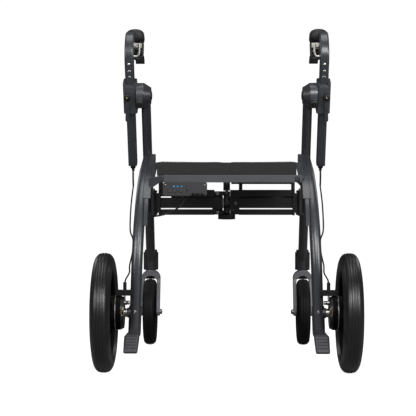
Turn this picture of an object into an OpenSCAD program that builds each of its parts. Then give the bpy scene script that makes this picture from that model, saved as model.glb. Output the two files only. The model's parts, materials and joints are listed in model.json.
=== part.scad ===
// Folding rollator that doubles as a transport chair, with powered rear hubs.
// Millimetres, X right, Y forward (caster side), Z up, standing on Z = 0.

/* [Wheels] */
// Diameter of the large rear wheels
rear_wheel_d = 300; // [280:1:320]
// Width of the rear tyres
rear_tyre_w = 50; // [42:1:54]
// How far the middle of a rear wheel stands outboard of the front tube
wheel_out = 87; // [80:0.5:96]
// Diameter of the front caster wheels
front_wheel_d = 190; // [180:1:196]
// Width of the front tyres
front_tyre_w = 34; // [28:1:36]
// Distance between rear and front wheel axles
wheelbase = 450; // [435:1:470]
// How far the front axle trails behind the caster swivel
caster_trail = 30; // [24:1:36]
// Number of spokes in a rear wheel
rear_spokes = 6; // [5:1:8]
// Number of spokes in a front wheel
front_spokes = 5; // [4:1:6]

/* [Side frames] */
// Diameter of the leaning front tubes
front_tube_d = 26; // [24:0.5:27]
// Diameter of the curved rear tubes
rear_tube_d = 28; // [26:0.5:29]
// Distance between the two front tubes
front_track = 439; // [434:1:446]
// Lean of the front tubes and handle stems from upright
front_lean = 24; // [22:0.5:26]
// Radius of the long bend in the rear tubes
rear_bend_r = 300; // [270:5:310]
// Height of the handle joints above the floor
joint_z = 706; // [695:1:720]
// Diameter of the round handle joints
joint_d = 69; // [64:1:72]

/* [Handles] */
// How far a handle stem stands outboard of the front tube
stem_out = 41.5; // [39.5:0.5:45.5]
// Width of a handle stem seen from behind
stem_w = 24; // [22:0.5:25]
// Depth of a handle stem seen from the side
stem_deep = 32; // [30:0.5:33]
// Height of the handle ends inside the grips above the floor
grip_z = 863; // [850:1:890]
// Length of a grip
grip_len = 116; // [105:1:125]

/* [Seat and lock bar] */
// Height of the seat's upper face
seat_z = 526; // [523:1:529]
// Thickness of a seat panel
seat_t = 14; // [12:1:15]
// Front to back size of the seat
seat_deep = 221; // [200:1:225]
// Height of the fabric band along the seat's rear edge
valance_h = 35; // [30:1:38]
// Height of the lock bar's section
bar_h = 19.5; // [18:0.5:21]
// Width of the control box under the lock bar
box_w = 114; // [108:1:118]

/* [Folding gate] */
// How far a side hinge stands inboard of the front tube
hinge_in = 15.5; // [13.5:0.5:17.5]
// Diameter of the gate's hinge barrels
barrel_d = 16; // [15:0.5:17]
// Diameter of the hinge pins
pin_d = 8; // [7:0.5:9]

/* [Hidden] */
$fn = 64;
// radial play of everything that turns or slides in a hole
run = 0.05;
SIDES = ["left", "right"];
SIDE_NODES = ["rear_leg", "front_leg", "seat_rail", "foot_pedal", "caster_head", "rear_axle",
    "brake_plate", "cable_stop", "brake_arm", "rear_rim", "rear_tyre", "caster_fork", "front_axle",
    "front_rim", "front_tyre", "clamp_block", "clamp_lever", "handle_stem", "grip",
    "brake_bracket", "brake_lever", "cable_upper", "cable_lower", "gate_hinge"];

rear_r = rear_wheel_d / 2;
front_r = front_wheel_d / 2;
rear_y = -(wheelbase + front_r - rear_r) / 2;
front_y = rear_y + wheelbase;
swivel_y = front_y + caster_trail;
front_x = front_track / 2;
stem_track = front_track + 2 * stem_out;
stem_x = stem_track / 2;
rear_track = front_track + 2 * wheel_out;
rear_x = rear_track / 2;
gate_len = front_x - hinge_in;
ls = sin(front_lean);
lc = cos(front_lean);
// the front tube's line: handle joint at the top, caster head at the bottom
head_z = 2 * front_r + 72;
head_low = 2 * front_r + 23.35;
joint_y = swivel_y - 9 - (joint_z - head_z) * ls / lc;
function front_at(z) = [front_x, joint_y + (joint_z - z) * ls / lc, z];
// the rear tube in its own leaning plane: foot, bend corner, top end on the front tube
rear_foot_x = front_x + 11;
rear_lean_x = 0.0304;
function rear_in(z) = rear_foot_x - (z - 110) * rear_lean_x;
top_z = 537;
top_y = front_at(top_z)[1];
foot_slope = 0.1028;
top_slope = 0.2754;
corner_z = (top_z + top_slope * (rear_y - foot_slope * rear_r - top_y)) / (1 - top_slope * foot_slope);
corner_y = rear_y + (corner_z - rear_r) * foot_slope;
rear_foot = [rear_in(110), rear_y - (rear_r - 110) * foot_slope, 110];
rear_corner = [rear_in(corner_z), corner_y, corner_z];
rear_top = [rear_in(top_z), top_y, top_z];
rear_o = round_o(rear_foot, rear_corner, rear_top, rear_bend_r);
rear_a = round_end(rear_top, rear_corner, rear_foot, rear_bend_r);
rear_b = round_end(rear_foot, rear_corner, rear_top, rear_bend_r);
// height of the rear tube's middle line at y, and its y at height z
function rail_z(y) = y > rear_b[1] ? top_z - (top_y - y) * top_slope
    : rear_o[2] + sqrt(pow(rear_bend_r, 2) - pow(y - rear_o[1], 2));
function leg_y(z) = z < rear_a[2] ? rear_y + (z - rear_r) * foot_slope
    : rear_o[1] - sqrt(pow(rear_bend_r, 2) - pow(z - rear_o[2], 2));
gate_y = joint_y + 91;
seat_rod_x = gate_len - 16;
seat_rod_z = seat_z - seat_t / 2;
seat_back_y = rear_y + 154;
bar_y0 = rear_y + 115;
bar_y1 = rear_y + 135;
bar_z0 = rail_z((bar_y0 + bar_y1) / 2) + 21.608;
bar_end = front_x - 24.1;
bar_pin_x = gate_len - 30;
bar_pin_z = bar_z0 + 8.6;
bar_hook_x = gate_len - 21;
box_y0 = bar_y0 - 10;
box_z0 = bar_z0 - 34;
hub_in = rear_x - 42;
corner_h = (grip_z - joint_z) / lc;
grip_y0 = joint_y - corner_h * ls + 80;
lever_up = 7;

// straight lengths and directions
function unit(v) = v / norm(v);

// puts children at o with their axes along x, y and z
module place(o, x, y, z) {
    multmatrix([[x[0], y[0], z[0], o[0]], [x[1], y[1], z[1], o[1]], [x[2], y[2], z[2], o[2]],
        [0, 0, 0, 1]])
        children();
}

// a round rod from p to q
module rod(p, q, d) {
    z = unit(q - p);
    x = unit(cross(z, abs(z[0]) < 0.9 ? [1, 0, 0] : [0, 1, 0]));
    place(p, x, cross(z, x), z)
        cylinder(h = norm(q - p), d = d);
}

// half the angle at corner c, the centre of its round, and where the round meets the line to p
function half_at(p0, c, p1) = acos(unit(p0 - c) * unit(p1 - c)) / 2;
function round_o(p0, c, p1, r) = c + unit(unit(p0 - c) + unit(p1 - c)) * r / sin(half_at(p0, c, p1));
function round_end(p0, c, p1, r) = c + unit(p1 - c) * r / tan(half_at(p0, c, p1));

// sweeps a flat profile round the corner c only; the profile's x points out of the bend
module corner(p0, c, p1, r) {
    o = round_o(p0, c, p1, r);
    xa = unit(round_end(p1, c, p0, r) - o);
    n = unit(cross(xa, unit(round_end(p0, c, p1, r) - o)));
    place(o, xa, cross(n, xa), n)
        rotate_extrude(angle = 180 - 2 * half_at(p0, c, p1))
            translate([r, 0])
                children();
}

// sweeps the first flat profile along both straights and the second, a little larger, round the corner;
// the straights reach 3 mm into the round, so that the three become one piece
module bend(p0, c, p1, r) {
    o = round_o(p0, c, p1, r);
    a = round_end(p1, c, p0, r);
    b = round_end(p0, c, p1, r);
    xa = unit(a - o);
    xb = unit(b - o);
    n = unit(cross(xa, xb));
    corner(p0, c, p1, r)
        children(1);
    place(a + 3 * unit(c - p0), xa, n, cross(xa, n))
        linear_extrude(norm(p0 - a) + 3)
            children(0);
    if (norm(p1 - b) > 0.01)
        place(p1, xb, n, cross(xb, n))
            linear_extrude(norm(p1 - b) + 3)
                children(0);
}

// a flat shape in the Y-Z plane, thick from x0 to x1
module yz(x0, x1) {
    translate([x0, 0, 0])
        rotate([90, 0, 90])
            linear_extrude(x1 - x0)
                children();
}

// a flat shape in the X-Z plane, thick from y0 to y1
module xz(y0, y1) {
    translate([0, y1, 0])
        rotate([90, 0, 0])
            linear_extrude(y1 - y0)
                children();
}

module xrod(x0, x1, y, z, d, d2 = 0) {
    translate([x0, y, z])
        rotate([0, 90, 0])
            cylinder(h = x1 - x0, d1 = d, d2 = d2 > 0 ? d2 : d);
}

module yrod(y0, y1, x, z, d) {
    translate([x, y0, z])
        rotate([-90, 0, 0])
            cylinder(h = y1 - y0, d = d);
}

module zrod(z0, z1, x, y, d) {
    translate([x, y, z0])
        cylinder(h = z1 - z0, d = d);
}

module box(a, b) {
    translate(a)
        cube(b - a);
}

// a rectangle with round corners, centred
module soft_square(w, h, r) {
    square([w - 2 * r, h], center = true);
    square([w, h - 2 * r], center = true);
    for (x = [-1, 1])
        for (y = [-1, 1])
            translate([x * (w / 2 - r), y * (h / 2 - r)])
                circle(r);
}

// a straight slot with round ends from p to q
module slot(p, q, d) {
    translate(p)
        circle(d = d);
    translate(q)
        circle(d = d);
    translate(p)
        rotate(atan2(q[1] - p[1], q[0] - p[0]))
            translate([0, -d / 2])
                square([norm(q - p), d]);
}

// a wheel's profile turned about the X axis at the wheel's centre
module wheel(x, y, z) {
    translate([x, y, z])
        rotate([0, 90, 0])
            children();
}

// children in a handle stem's own frame: z up the stem, y forward, centre on the handle joint
module on_stem() {
    place([stem_x, joint_y, joint_z], [1, 0, 0], [0, lc, ls], [0, -ls, lc])
        children();
}

// the right-hand piece as drawn, or its mirror image
module on_side(s) {
    mirror([s == "left" ? 1 : 0, 0, 0])
        children();
}

// side frame

module rear_tube(d) {
    bend(rear_foot, rear_corner, rear_top, rear_bend_r) {
        soft_square(d, d, d / 2 - 1);
        soft_square(d + 0.3, d + 0.3, d / 2 - 1);
    }
}

module front_tube(d, z0) {
    rod(front_at(z0), front_at(joint_z), d);
}

module rear_leg() {
    color([0.27, 0.28, 0.31])
        difference() {
            rear_tube(rear_tube_d);
            front_tube(front_tube_d + 0.1, 480);
            place(front_at(top_z), [1, 0, 0], [0, lc, ls], [0, -ls, lc])
                translate([-40, -4, -60])
                    cube([80, 80, 120]);
            xrod(rear_in(rear_r) - 6, rear_in(rear_r) + 30, rear_y, rear_r, 12.1);
        }
}

module front_leg() {
    disc_in = front_x - 14.5;
    color([0.2, 0.21, 0.23])
        difference() {
            union() {
                difference() {
                    rod(front_at(head_z - 24), front_at(joint_z + 13), front_tube_d);
                    xrod(front_x + 4.8, front_x + 40, joint_y, joint_z, joint_d + 3);
                }
                zrod(head_low, head_z - 4, front_x, swivel_y, front_tube_d);
                xrod(disc_in, front_x + 4.8, joint_y, joint_z, joint_d - 24, joint_d);
                xrod(front_x + 4, front_x + 21, joint_y, joint_z, 12);
            }
            zrod(head_low - 1, head_low + 30, front_x, swivel_y, 12 + 2 * run);
            box([0, 0, head_low - 60], [400, 400, head_low]);
        }
}

// the flat bar that carries the seat rod along the outside of the bend, and its hanging tongue
module seat_rail(s) {
    shift = front_x - 13.5 - rear_corner[0];
    foot = rear_foot + [rear_corner[0] - rear_foot[0] + shift, 0, 0];
    knee = rear_corner + [shift, 0, 0];
    tip = [knee[0], rear_top[1] - 10, rear_top[2] - 10 * top_slope];
    lug_y = seat_back_y - 2;
    lug_2 = lug_y + seat_deep - 41;
    // the straight end of the bar is a little thinner, so that it starts inside the curved part
    far = round_end(foot, knee, tip, rear_bend_r);
    out = unit(far - round_o(foot, knee, tip, rear_bend_r));
    along = unit(tip - knee);
    color([0.33, 0.34, 0.38])
        difference() {
            union() {
                intersection() {
                    corner(foot, knee, tip, rear_bend_r)
                        translate([5, 0])
                            square([19, 20], center = true);
                    box([0, rear_y - 20, 434], [400, 400, 700]);
                }
                place(far - 3 * along, out, cross(along, out), along)
                    translate([-4.2, -9.7, 0])
                        cube([18.4, 19.4, norm(tip - far) + 3]);
                intersection() {
                    corner(foot, knee, tip, rear_bend_r)
                        translate([9.5, 0])
                            square([8, 10], center = true);
                    box([0, rear_y - 20, 366], [400, 400, 436]);
                }
                yrod(lug_y, lug_2 + 6, seat_rod_x, seat_rod_z, 10);
                xz(lug_y, lug_y + 6) {
                    translate([seat_rod_x, seat_rod_z])
                        circle(7);
                    polygon([[seat_rod_x - 6, seat_rod_z - 4], [seat_rod_x + 6, seat_rod_z + 4],
                        [knee[0] - 8, rail_z(lug_y) + 24], [knee[0] - 8, rail_z(lug_y) + 6],
                        [seat_rod_x + 2, rail_z(lug_y) + 6]]);
                }
                xz(lug_2, lug_2 + 6) {
                    translate([seat_rod_x, seat_rod_z])
                        circle(7);
                    polygon([[seat_rod_x, seat_rod_z - 6], [seat_rod_x, seat_rod_z + 6],
                        [knee[0] - 9.5, seat_rod_z + 6], [knee[0] - 9.5, rail_z(lug_2) + 10],
                        [knee[0] - 2, rail_z(lug_2) + 10], [knee[0] - 2, seat_rod_z - 6]]);
                }
                if (s == "left")
                    lock_clevis(knee[0] - 10);
                else
                    lock_hook(knee[0] - 10);
            }
            rear_tube(rear_tube_d + 0.4);
            front_tube(front_tube_d + 0.4, 480);
        }
}

// two ears that hold the lock bar's pivot pin
module lock_clevis(wall) {
    mid = (bar_y0 + bar_y1) / 2;
    for (y = [mid - 9.5, mid + 4.5])
        xz(y, y + 5) {
            translate([bar_pin_x, bar_pin_z])
                circle(9);
            polygon([[bar_pin_x, bar_pin_z - 9], [bar_pin_x, bar_pin_z + 9], [wall + 6, bar_pin_z + 2],
                [wall + 6, bar_pin_z - 28]]);
        }
    yrod(mid - 9.5, mid + 9.5, bar_pin_x, bar_pin_z, pin_d);
}

// the stub that the lock bar's open end hooks over
module lock_hook(wall) {
    xz(bar_y1 + 0.5, bar_y1 + 5.5) {
        translate([bar_hook_x, bar_pin_z])
            circle(9);
        polygon([[bar_hook_x, bar_pin_z - 9], [bar_hook_x, bar_pin_z + 9], [wall + 6, bar_pin_z + 2],
            [wall + 6, bar_pin_z - 28]]);
    }
    yrod(bar_y0 + 1, bar_y1 + 5, bar_hook_x, bar_pin_z, pin_d + 4);
}

// plastic boot on the rear tube's foot, drawn out into a kerb-tipping pedal
module foot_pedal() {
    x = rear_foot[0];
    along = unit(rear_corner - rear_foot);
    boot_d = rear_tube_d + 4;
    color([0.3, 0.3, 0.33])
        difference() {
            union() {
                rod(rear_foot - along * 10, rear_foot + along * 57, boot_d);
                xrod(rear_in(rear_r), hub_in - 16, rear_y, rear_r, 26);
                hull() {
                    translate(rear_foot - along * 10)
                        sphere(d = boot_d, $fn = 32);
                    translate([x + 1, rear_y - 30, 101])
                        scale([1, 1, 0.8])
                            sphere(d = 29, $fn = 32);
                }
                hull() {
                    translate([x + 1, rear_y - 30, 101])
                        scale([1, 1, 0.8])
                            sphere(d = 29, $fn = 32);
                    for (k = [-1, 1])
                        translate([x + 2 + k * 13, rear_y - 72, 98])
                            sphere(d = 12, $fn = 32);
                }
                hull()
                    for (k = [-1, 1])
                        for (e = [[-72, 98, 12], [-118, 70, 9]])
                            translate([x + 2 + k * 13, rear_y + e[0], e[1]])
                                sphere(d = e[2], $fn = 32);
                for (i = [0:4])
                    xrod(x - 11, x + 15, rear_y - 76 - i * 9.2, 102.4 - i * 5.85, 4);
            }
            rear_tube(rear_tube_d + 0.1);
            xrod(rear_in(rear_r) - 6, hub_in, rear_y, rear_r, 12.1);
        }
}

// a shell round the front of the upright head tube
module caster_head() {
    color([0.19, 0.19, 0.21])
        difference() {
            union() {
                translate([front_x, swivel_y + 6, head_low])
                    linear_extrude(50)
                        soft_square(42, 30, 8);
                translate([front_x, swivel_y + 6, head_low + 50])
                    linear_extrude(7)
                        soft_square(36, 25, 8);
            }
            front_tube(front_tube_d + 0.2, head_z - 24.1);
            zrod(head_low - 1, head_low + 80, front_x, swivel_y, front_tube_d + 0.2);
        }
}

// rear wheel, drum and brake

module rear_axle() {
    color([0.5, 0.5, 0.52])
        union() {
            xrod(rear_in(rear_r) - 5, rear_x + 22, rear_y, rear_r, 12);
            xrod(hub_in - 16, hub_in - 7.5, rear_y, rear_r, 22);
        }
}

module brake_plate() {
    color([0.05, 0.05, 0.05])
        difference() {
            union() {
                xrod(hub_in - 7.5, hub_in - 0.5, rear_y, rear_r, 78, 84);
                xrod(hub_in - 14, hub_in - 7, rear_y + 20, rear_r + 22, 6);
            }
            xrod(hub_in - 20, hub_in + 5, rear_y, rear_r, 12.1);
        }
}

module cable_stop() {
    z = rear_r + 51;
    color([0.16, 0.16, 0.18])
        difference() {
            union() {
                box([rear_in(z) + 6, rear_y - 15, z - 7], [hub_in + 9, rear_y + 1, z + 7]);
                zrod(z + 7, z + 26, hub_in - 10, rear_y - 7, 9);
            }
            rear_tube(rear_tube_d + 0.1);
            zrod(z - 10, z + 30, hub_in - 10, rear_y - 7, 4.6);
            zrod(z - 10, z + 2, hub_in - 10, rear_y - 7, 10);
        }
}

module brake_arm() {
    x1 = hub_in - 8;
    color([0.62, 0.5, 0.25])
        difference() {
            union() {
                yz(x1 - 4, x1)
                    slot([rear_y + 20, rear_r + 22], [rear_y - 7, rear_r + 26], 11);
                xrod(x1 - 6, x1 + 0.2, rear_y - 7, rear_r + 26, 8);
                box([x1 - 4, rear_y - 10, rear_r + 25], [x1, rear_y - 4, rear_r + 34]);
                zrod(rear_r + 32, rear_r + 43, x1 - 2, rear_y - 7, 2);
            }
            xrod(x1 - 10, x1 + 10, rear_y + 20, rear_r + 22, 6 + 2 * run);
        }
}

module rear_rim() {
    rim_r = rear_r - 38;
    color([0.1, 0.1, 0.11])
        difference() {
            wheel(rear_x, rear_y, rear_r) {
                rotate_extrude()
                    polygon([[rim_r - 9, -12], [rim_r - 4, -17], [rim_r, -17], [rim_r, 17],
                        [rim_r - 4, 17], [rim_r - 9, 12]]);
                rotate_extrude()
                    polygon([[0, -42], [43, -42], [43, -22], [36, -10], [34, 14], [24, 20], [0, 20]]);
                for (i = [0:rear_spokes - 1])
                    rotate([0, 0, i * 360 / rear_spokes])
                        translate([30, 0, 0])
                            rotate([90, 0, 90])
                                linear_extrude(rim_r - 34)
                                    polygon([[-13, -4], [-9, -9], [9, -9], [13, -4], [9, 9], [-9, 9]]);
            }
            xrod(rear_x - 60, rear_x + 60, rear_y, rear_r, 12 + 2 * run);
        }
}

// one tyre's turned profile, with its crown grooves
module tyre_profile(r_in, r_out, w) {
    h = r_out - r_in;
    difference() {
        union() {
            translate([r_out - w * 0.42, 0])
                scale(1)
                    circle(w * 0.42);
            polygon([[r_in, -w * 0.34], [r_in + h * 0.25, -w * 0.42], [r_in + h * 0.45, -w / 2],
                [r_in + h * 0.62, -w / 2], [r_out - w * 0.13, -w * 0.32], [r_out - w * 0.13, w * 0.32],
                [r_in + h * 0.62, w / 2], [r_in + h * 0.45, w / 2], [r_in + h * 0.25, w * 0.42],
                [r_in, w * 0.34]]);
        }
        square([2 * r_in, 4 * w], center = true);
        for (y = [-1, 0, 1])
            translate([r_out, y * w * 0.15])
                square([5, 2.2], center = true);
    }
}

module rear_tyre() {
    color([0.09, 0.09, 0.09])
        wheel(rear_x, rear_y, rear_r)
            rotate_extrude($fn = 96)
                tyre_profile(rear_r - 38, rear_r, rear_tyre_w);
}

// caster

module caster_fork() {
    leg_in = front_tyre_w / 2 + 1.5;
    top = 2 * front_r + 21;
    color([0.38, 0.38, 0.4])
        difference() {
            union() {
                for (k = [-1, 1])
                    yz(front_x + (k < 0 ? -leg_in - 9 : leg_in), front_x + (k < 0 ? -leg_in : leg_in + 9)) {
                        translate([front_y, front_r])
                            circle(12);
                        polygon([[front_y - 11.5, front_r + 3], [front_y + 11.8, front_r - 2],
                            [swivel_y + 16, top - 30], [swivel_y + 16, top - 24], [swivel_y - 17, top - 24],
                            [swivel_y - 20, top - 30]]);
                    }
                xz(swivel_y - 17, swivel_y + 16)
                    difference() {
                        translate([front_x, top - 24])
                            soft_square(2 * leg_in + 18, 48, 22);
                        translate([front_x, top - 14 - leg_in])
                            circle(leg_in);
                        translate([front_x, top - 64 - leg_in])
                            square([2 * leg_in, 100], center = true);
                    }
                box([front_x - leg_in - 1, swivel_y + 9, 2 * front_r - 4.5],
                    [front_x + leg_in + 1, swivel_y + 16, top - 12]);
                zrod(top - 2, top + 2, front_x, swivel_y, 30);
                zrod(top, top + 30, front_x, swivel_y, 12);
            }
            xrod(front_x - 60, front_x + 60, front_y, front_r, 8.1);
        }
}

module front_axle() {
    half = front_tyre_w / 2 + 10.5;
    color([0.45, 0.45, 0.46])
        union() {
            xrod(front_x - half - 1, front_x + half + 1, front_y, front_r, 8);
            for (k = [-1, 1])
                xrod(front_x + k * (half + 2.05) - 2, front_x + k * (half + 2.05) + 2, front_y, front_r, 15);
        }
}

module front_rim() {
    rim_r = front_r - 25;
    color([0.07, 0.07, 0.08])
        difference() {
            wheel(front_x, front_y, front_r) {
                rotate_extrude()
                    polygon([[rim_r - 7, -7], [rim_r - 3, -11], [rim_r, -11], [rim_r, 11], [rim_r - 3, 11],
                        [rim_r - 7, 7]]);
                cylinder(h = front_tyre_w + 1, d = 32, center = true);
                for (i = [0:front_spokes - 1])
                    rotate([0, 0, 90 + i * 360 / front_spokes])
                        translate([12, -8, -5])
                            cube([rim_r - 16, 16, 10]);
            }
            xrod(front_x - 60, front_x + 60, front_y, front_r, 8 + 2 * run);
        }
}

module front_tyre() {
    color([0.06, 0.06, 0.06])
        wheel(front_x, front_y, front_r)
            rotate_extrude($fn = 96)
                tyre_profile(front_r - 25, front_r, front_tyre_w);
}

// handle

module clamp_block() {
    color([0.26, 0.28, 0.3])
        on_stem()
            difference() {
                union() {
                    translate([0, 0, -44])
                        linear_extrude(86)
                            soft_square(37, stem_deep + 13, 7);
                    xrod(front_x + 5.15 - stem_x, -17, 0, 0, joint_d);
                    translate([-26, -joint_d / 2 + 4, -4])
                        rotate([90, 0, 0])
                            cylinder(h = 15, d = 14);
                    translate([7, -stem_deep / 2 - 4, lever_up])
                        rotate([90, 0, 0]) {
                            cylinder(h = 14, d = pin_d);
                            translate([0, 0, 11.5])
                                cylinder(h = 2.5, d = 13);
                        }
                }
                translate([0, 0, -60])
                    linear_extrude(130)
                        soft_square(stem_w + 0.6, stem_deep + 0.6, 5.3);
                xrod(-60, -19.4, 0, 0, 12 + 2 * run);
                translate([0, -stem_deep / 2 - 10, 46])
                    rotate([0, 90, 0])
                        cylinder(h = 22, d = 26, center = true);
            }
}

module clamp_lever() {
    y0 = -stem_deep / 2 - 6.85;
    color([0.4, 0.39, 0.41])
        on_stem()
            translate([7, 0, lever_up])
                difference() {
                    union() {
                        translate([0, y0, 0])
                            rotate([90, 0, 0])
                                cylinder(h = 8, d = 15);
                        translate([0, y0 - 8, 0])
                            rotate([-90, 0, 0])
                                linear_extrude(8)
                                    slot([0, 0], [0, 30], 11);
                        translate([0, y0 - 8, 0])
                            rotate([-90, 0, 0])
                                linear_extrude(6)
                                    slot([0, 30], [2, 66], 10);
                    }
                    translate([0, y0 + 5, 0])
                        rotate([90, 0, 0])
                            cylinder(h = 30, d = pin_d + 2 * run);
                }
}

// the stem's outline from its foot round to the grip, grown all round
module stem_bar(grow) {
    bend([0, 0, -203], [0, 0, corner_h], [0, 0, corner_h] + 80 * [0, lc, -ls],
        80 * tan(45 - front_lean / 2)) {
        soft_square(stem_deep + grow, stem_w + grow, 5);
        soft_square(stem_deep + grow + 0.3, stem_w + grow + 0.3, 5);
    }
}

module handle_stem() {
    color([0.34, 0.33, 0.36])
        on_stem()
            difference() {
                union() {
                    stem_bar(0);
                    rod([0, 0, corner_h] + 79 * [0, lc, -ls],
                        [0, 0, corner_h] + (grip_len + 50) * [0, lc, -ls], 18);
                }
                translate([0, 0, -199])
                    linear_extrude(corner_h + 130)
                        soft_square(stem_w - 4, stem_deep - 4, 3);
                translate([0, 0, -210])
                    cylinder(h = 20, d = 10);
            }
}

module grip() {
    g = grip_y0;
    color([0.12, 0.12, 0.12])
        difference() {
            hull() {
                for (k = [-18.5, -4.5])
                    translate([stem_x + k, g + 19, grip_z + 7])
                        sphere(d = 38, $fn = 40);
                for (k = [-13, -4])
                    translate([stem_x + k, g + grip_len - 18, grip_z + 5])
                        sphere(d = 36, $fn = 40);
            }
            box([0, g - 40, 0], [400, g + 0.05, 2000]);
            yrod(g - 10, g + grip_len - 29.9, stem_x, grip_z, 18.1);
        }
}

module brake_bracket() {
    y = grip_y0;
    z = grip_z - stem_deep / 2 - 0.05;
    color([0.7, 0.7, 0.68])
        difference() {
            union() {
                box([stem_x - 32, y - 22, z - 8], [stem_x + 6, y - 2, z]);
                for (x = [-32, -12.5])
                    yz(stem_x + x, stem_x + x + 5) {
                        translate([y - 8, z - 16])
                            circle(7);
                        polygon([[y - 22, z], [y - 22, z - 12], [y - 10, z - 22.5], [y - 2, z - 16],
                            [y - 2, z]]);
                    }
                xrod(stem_x - 32, stem_x - 8, y - 8, z - 16, 5);
            }
            on_stem()
                stem_bar(0.2);
        }
}

module brake_lever() {
    y = grip_y0 - 8;
    z = grip_z - stem_deep / 2 - 16.05;
    color([0.14, 0.14, 0.14])
        difference() {
            union() {
                yz(stem_x - 26.6, stem_x - 12.9) {
                    circle_at([y, z], 13);
                    polygon([[y, z - 6.5], [y + 4, z + 5], [y + 26, z - 3], [y + 26, z - 17]]);
                }
                yz(stem_x - 32, stem_x - 8)
                    difference() {
                        polygon([[y + 20, z - 3], [y + 50, z - 10], [y + 82, z - 14], [y + 98, z - 23],
                            [y + 97, z - 32], [y + 90, z - 32], [y + 76, z - 25], [y + 46, z - 21],
                            [y + 20, z - 16]]);
                        polygon([[y + 34, z - 11], [y + 78, z - 17], [y + 86, z - 23], [y + 76, z - 21],
                            [y + 34, z - 16]]);
                    }
            }
            xrod(stem_x - 60, stem_x, y, z, 5 + 2 * run);
        }
}

module circle_at(p, d) {
    translate(p)
        circle(d = d);
}

// cables: a round tube swept through a smooth curve over hand-chosen route points

function smooth(p, i, t) = let (a = p[max(i - 1, 0)], b = p[i], c = p[i + 1], d = p[min(i + 2, len(p) - 1)])
    0.5 * (2 * b + (c - a) * t + (2 * a - 5 * b + 4 * c - d) * t * t + (3 * b - a - 3 * c + d) * t * t * t);
function route(p, n) = concat([for (i = [0:len(p) - 2]) for (k = [0:n - 1]) smooth(p, i, k / n)],
    [p[len(p) - 1]]);
function heading(q, i) = unit(q[min(i + 1, len(q) - 1)] - q[max(i - 1, 0)]);
function frames(q, i = 0, x = [1, 0, 0]) = i >= len(q) ? [] :
    let (t = heading(q, i), n = unit(x - (x * t) * t)) concat([[n, cross(t, n)]], frames(q, i + 1, n));

module cable(p, d, n) {
    q = route(p, n);
    f = frames(q, 0, abs(heading(q, 0)[0]) < 0.8 ? [1, 0, 0] : [0, 1, 0]);
    m = 8;
    last = (len(q) - 1) * m;
    polyhedron(
        points = [for (i = [0:len(q) - 1]) for (k = [0:m - 1])
            q[i] + d / 2 * (cos(k * 360 / m) * f[i][0] + sin(k * 360 / m) * f[i][1])],
        faces = concat([[for (k = [0:m - 1]) k]],
            [for (i = [0:len(q) - 2]) for (k = [0:m - 1])
                [i * m + k, i * m + m + k, i * m + m + (k + 1) % m, i * m + (k + 1) % m]],
            [[for (k = [m - 1:-1:0]) last + k]]));
}

stem_end = [stem_x, joint_y + 203 * ls, joint_z - 203 * lc];
cable_joint = [stem_x - 4, stem_end[1] - 44, stem_end[2] - 60];
UPPER = [stem_end + [0, -0.4 * 14, 14], stem_end + [0, 0.4 * 10, -10],
    stem_end + [-1, -12, -40], cable_joint];
LOWER = [cable_joint + [-0.07, -0.7, -0.4], cable_joint + [-1, -94, -50],
    [rear_in(352) + 27.5, leg_y(352) + 76, 352], [rear_in(330) + 15, leg_y(330) + 26, 330],
    [rear_in(300) + 13.5, leg_y(300) + 15, 300],
    [rear_in(268) + 18.4, leg_y(268) + 2.5, 268], [rear_in(250) + 18, leg_y(250) - 7, 250],
    [hub_in - 12, rear_y - 6, 234], [hub_in - 10, rear_y - 7, 222], [hub_in - 10, rear_y - 7, 210]];

module cable_upper() {
    color([0.08, 0.08, 0.08])
        cable(UPPER, 5, 7);
}

module cable_lower() {
    color([0.08, 0.08, 0.08])
        cable(LOWER, 4, 8);
}

// folding gate

module gate_hinge() {
    color([0.25, 0.26, 0.28])
        difference() {
            union() {
                for (z = [377, 439.35])
                    difference() {
                        union() {
                            zrod(z, z + 6.65, gate_len, gate_y, barrel_d);
                            box([gate_len - barrel_d / 2, gate_y, z],
                                [gate_len + barrel_d / 2 + 4, front_at(z)[1] + 6, z + 6.65]);
                        }
                    }
                zrod(375, 448, gate_len, gate_y, pin_d);
            }
            front_tube(front_tube_d + 0.1, head_z);
        }
}

// the rails, end plate and hinge barrel that both gates share
module gate_leaf() {
    difference() {
        union() {
            for (r = [[378, 15.5], [397, 29], [429.5, 18.5]])
                box([34, gate_y - 6, r[0]], [gate_len - 15, gate_y + 6, r[0] + r[1]]);
            box([gate_len - 20, gate_y - 8, 377], [gate_len - 14, gate_y + 8, 449]);
            box([gate_len - 15, gate_y - 4, 384], [gate_len, gate_y + 4, 439]);
            zrod(384, 439, gate_len, gate_y, barrel_d);
        }
        zrod(370, 460, gate_len, gate_y, pin_d + 2 * run);
        for (x = [-1, 1])
            translate([gate_len - 17, gate_y + x * 14, 411])
                rotate([0, 90, 0])
                    cylinder(h = 20, d = 14, center = true);
    }
}

module knuckle(z0, z1) {
    zrod(z0, z1, 0, gate_y, 18);
    box([0, gate_y - 5, z0], [36, gate_y + 5, z1]);
}

// a rail's end beside the middle barrel, on the side that opens when the gate folds
module gate_filler(z0, z1) {
    box([10, gate_y - 6, z0], [36, gate_y - 1, z1]);
}

module left_gate() {
    color([0.2, 0.2, 0.22])
        mirror([1, 0, 0])
            difference() {
                union() {
                    gate_leaf();
                    knuckle(379, 390.6);
                    knuckle(432, 444);
                    gate_filler(397, 426);
                    box([gate_len - 26, gate_y - 5, 447], [gate_len - 14, gate_y + 5, 470]);
                }
                zrod(370, 460, 0, gate_y, pin_d + 0.1);
            }
}

module right_gate() {
    color([0.2, 0.2, 0.22])
        difference() {
            union() {
                gate_leaf();
                knuckle(391, 431.6);
                gate_filler(379.2, 390.8);
                gate_filler(431.8, 448);
                box([13, gate_y - 5, 464], [gate_len - 14, gate_y + 5, 477]);
                for (x = [34, gate_len - 24])
                    box([x, gate_y - 5, 447], [x + 10, gate_y + 5, 465]);
            }
            zrod(370, 460, 0, gate_y, pin_d + 2 * run);
        }
}

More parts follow.
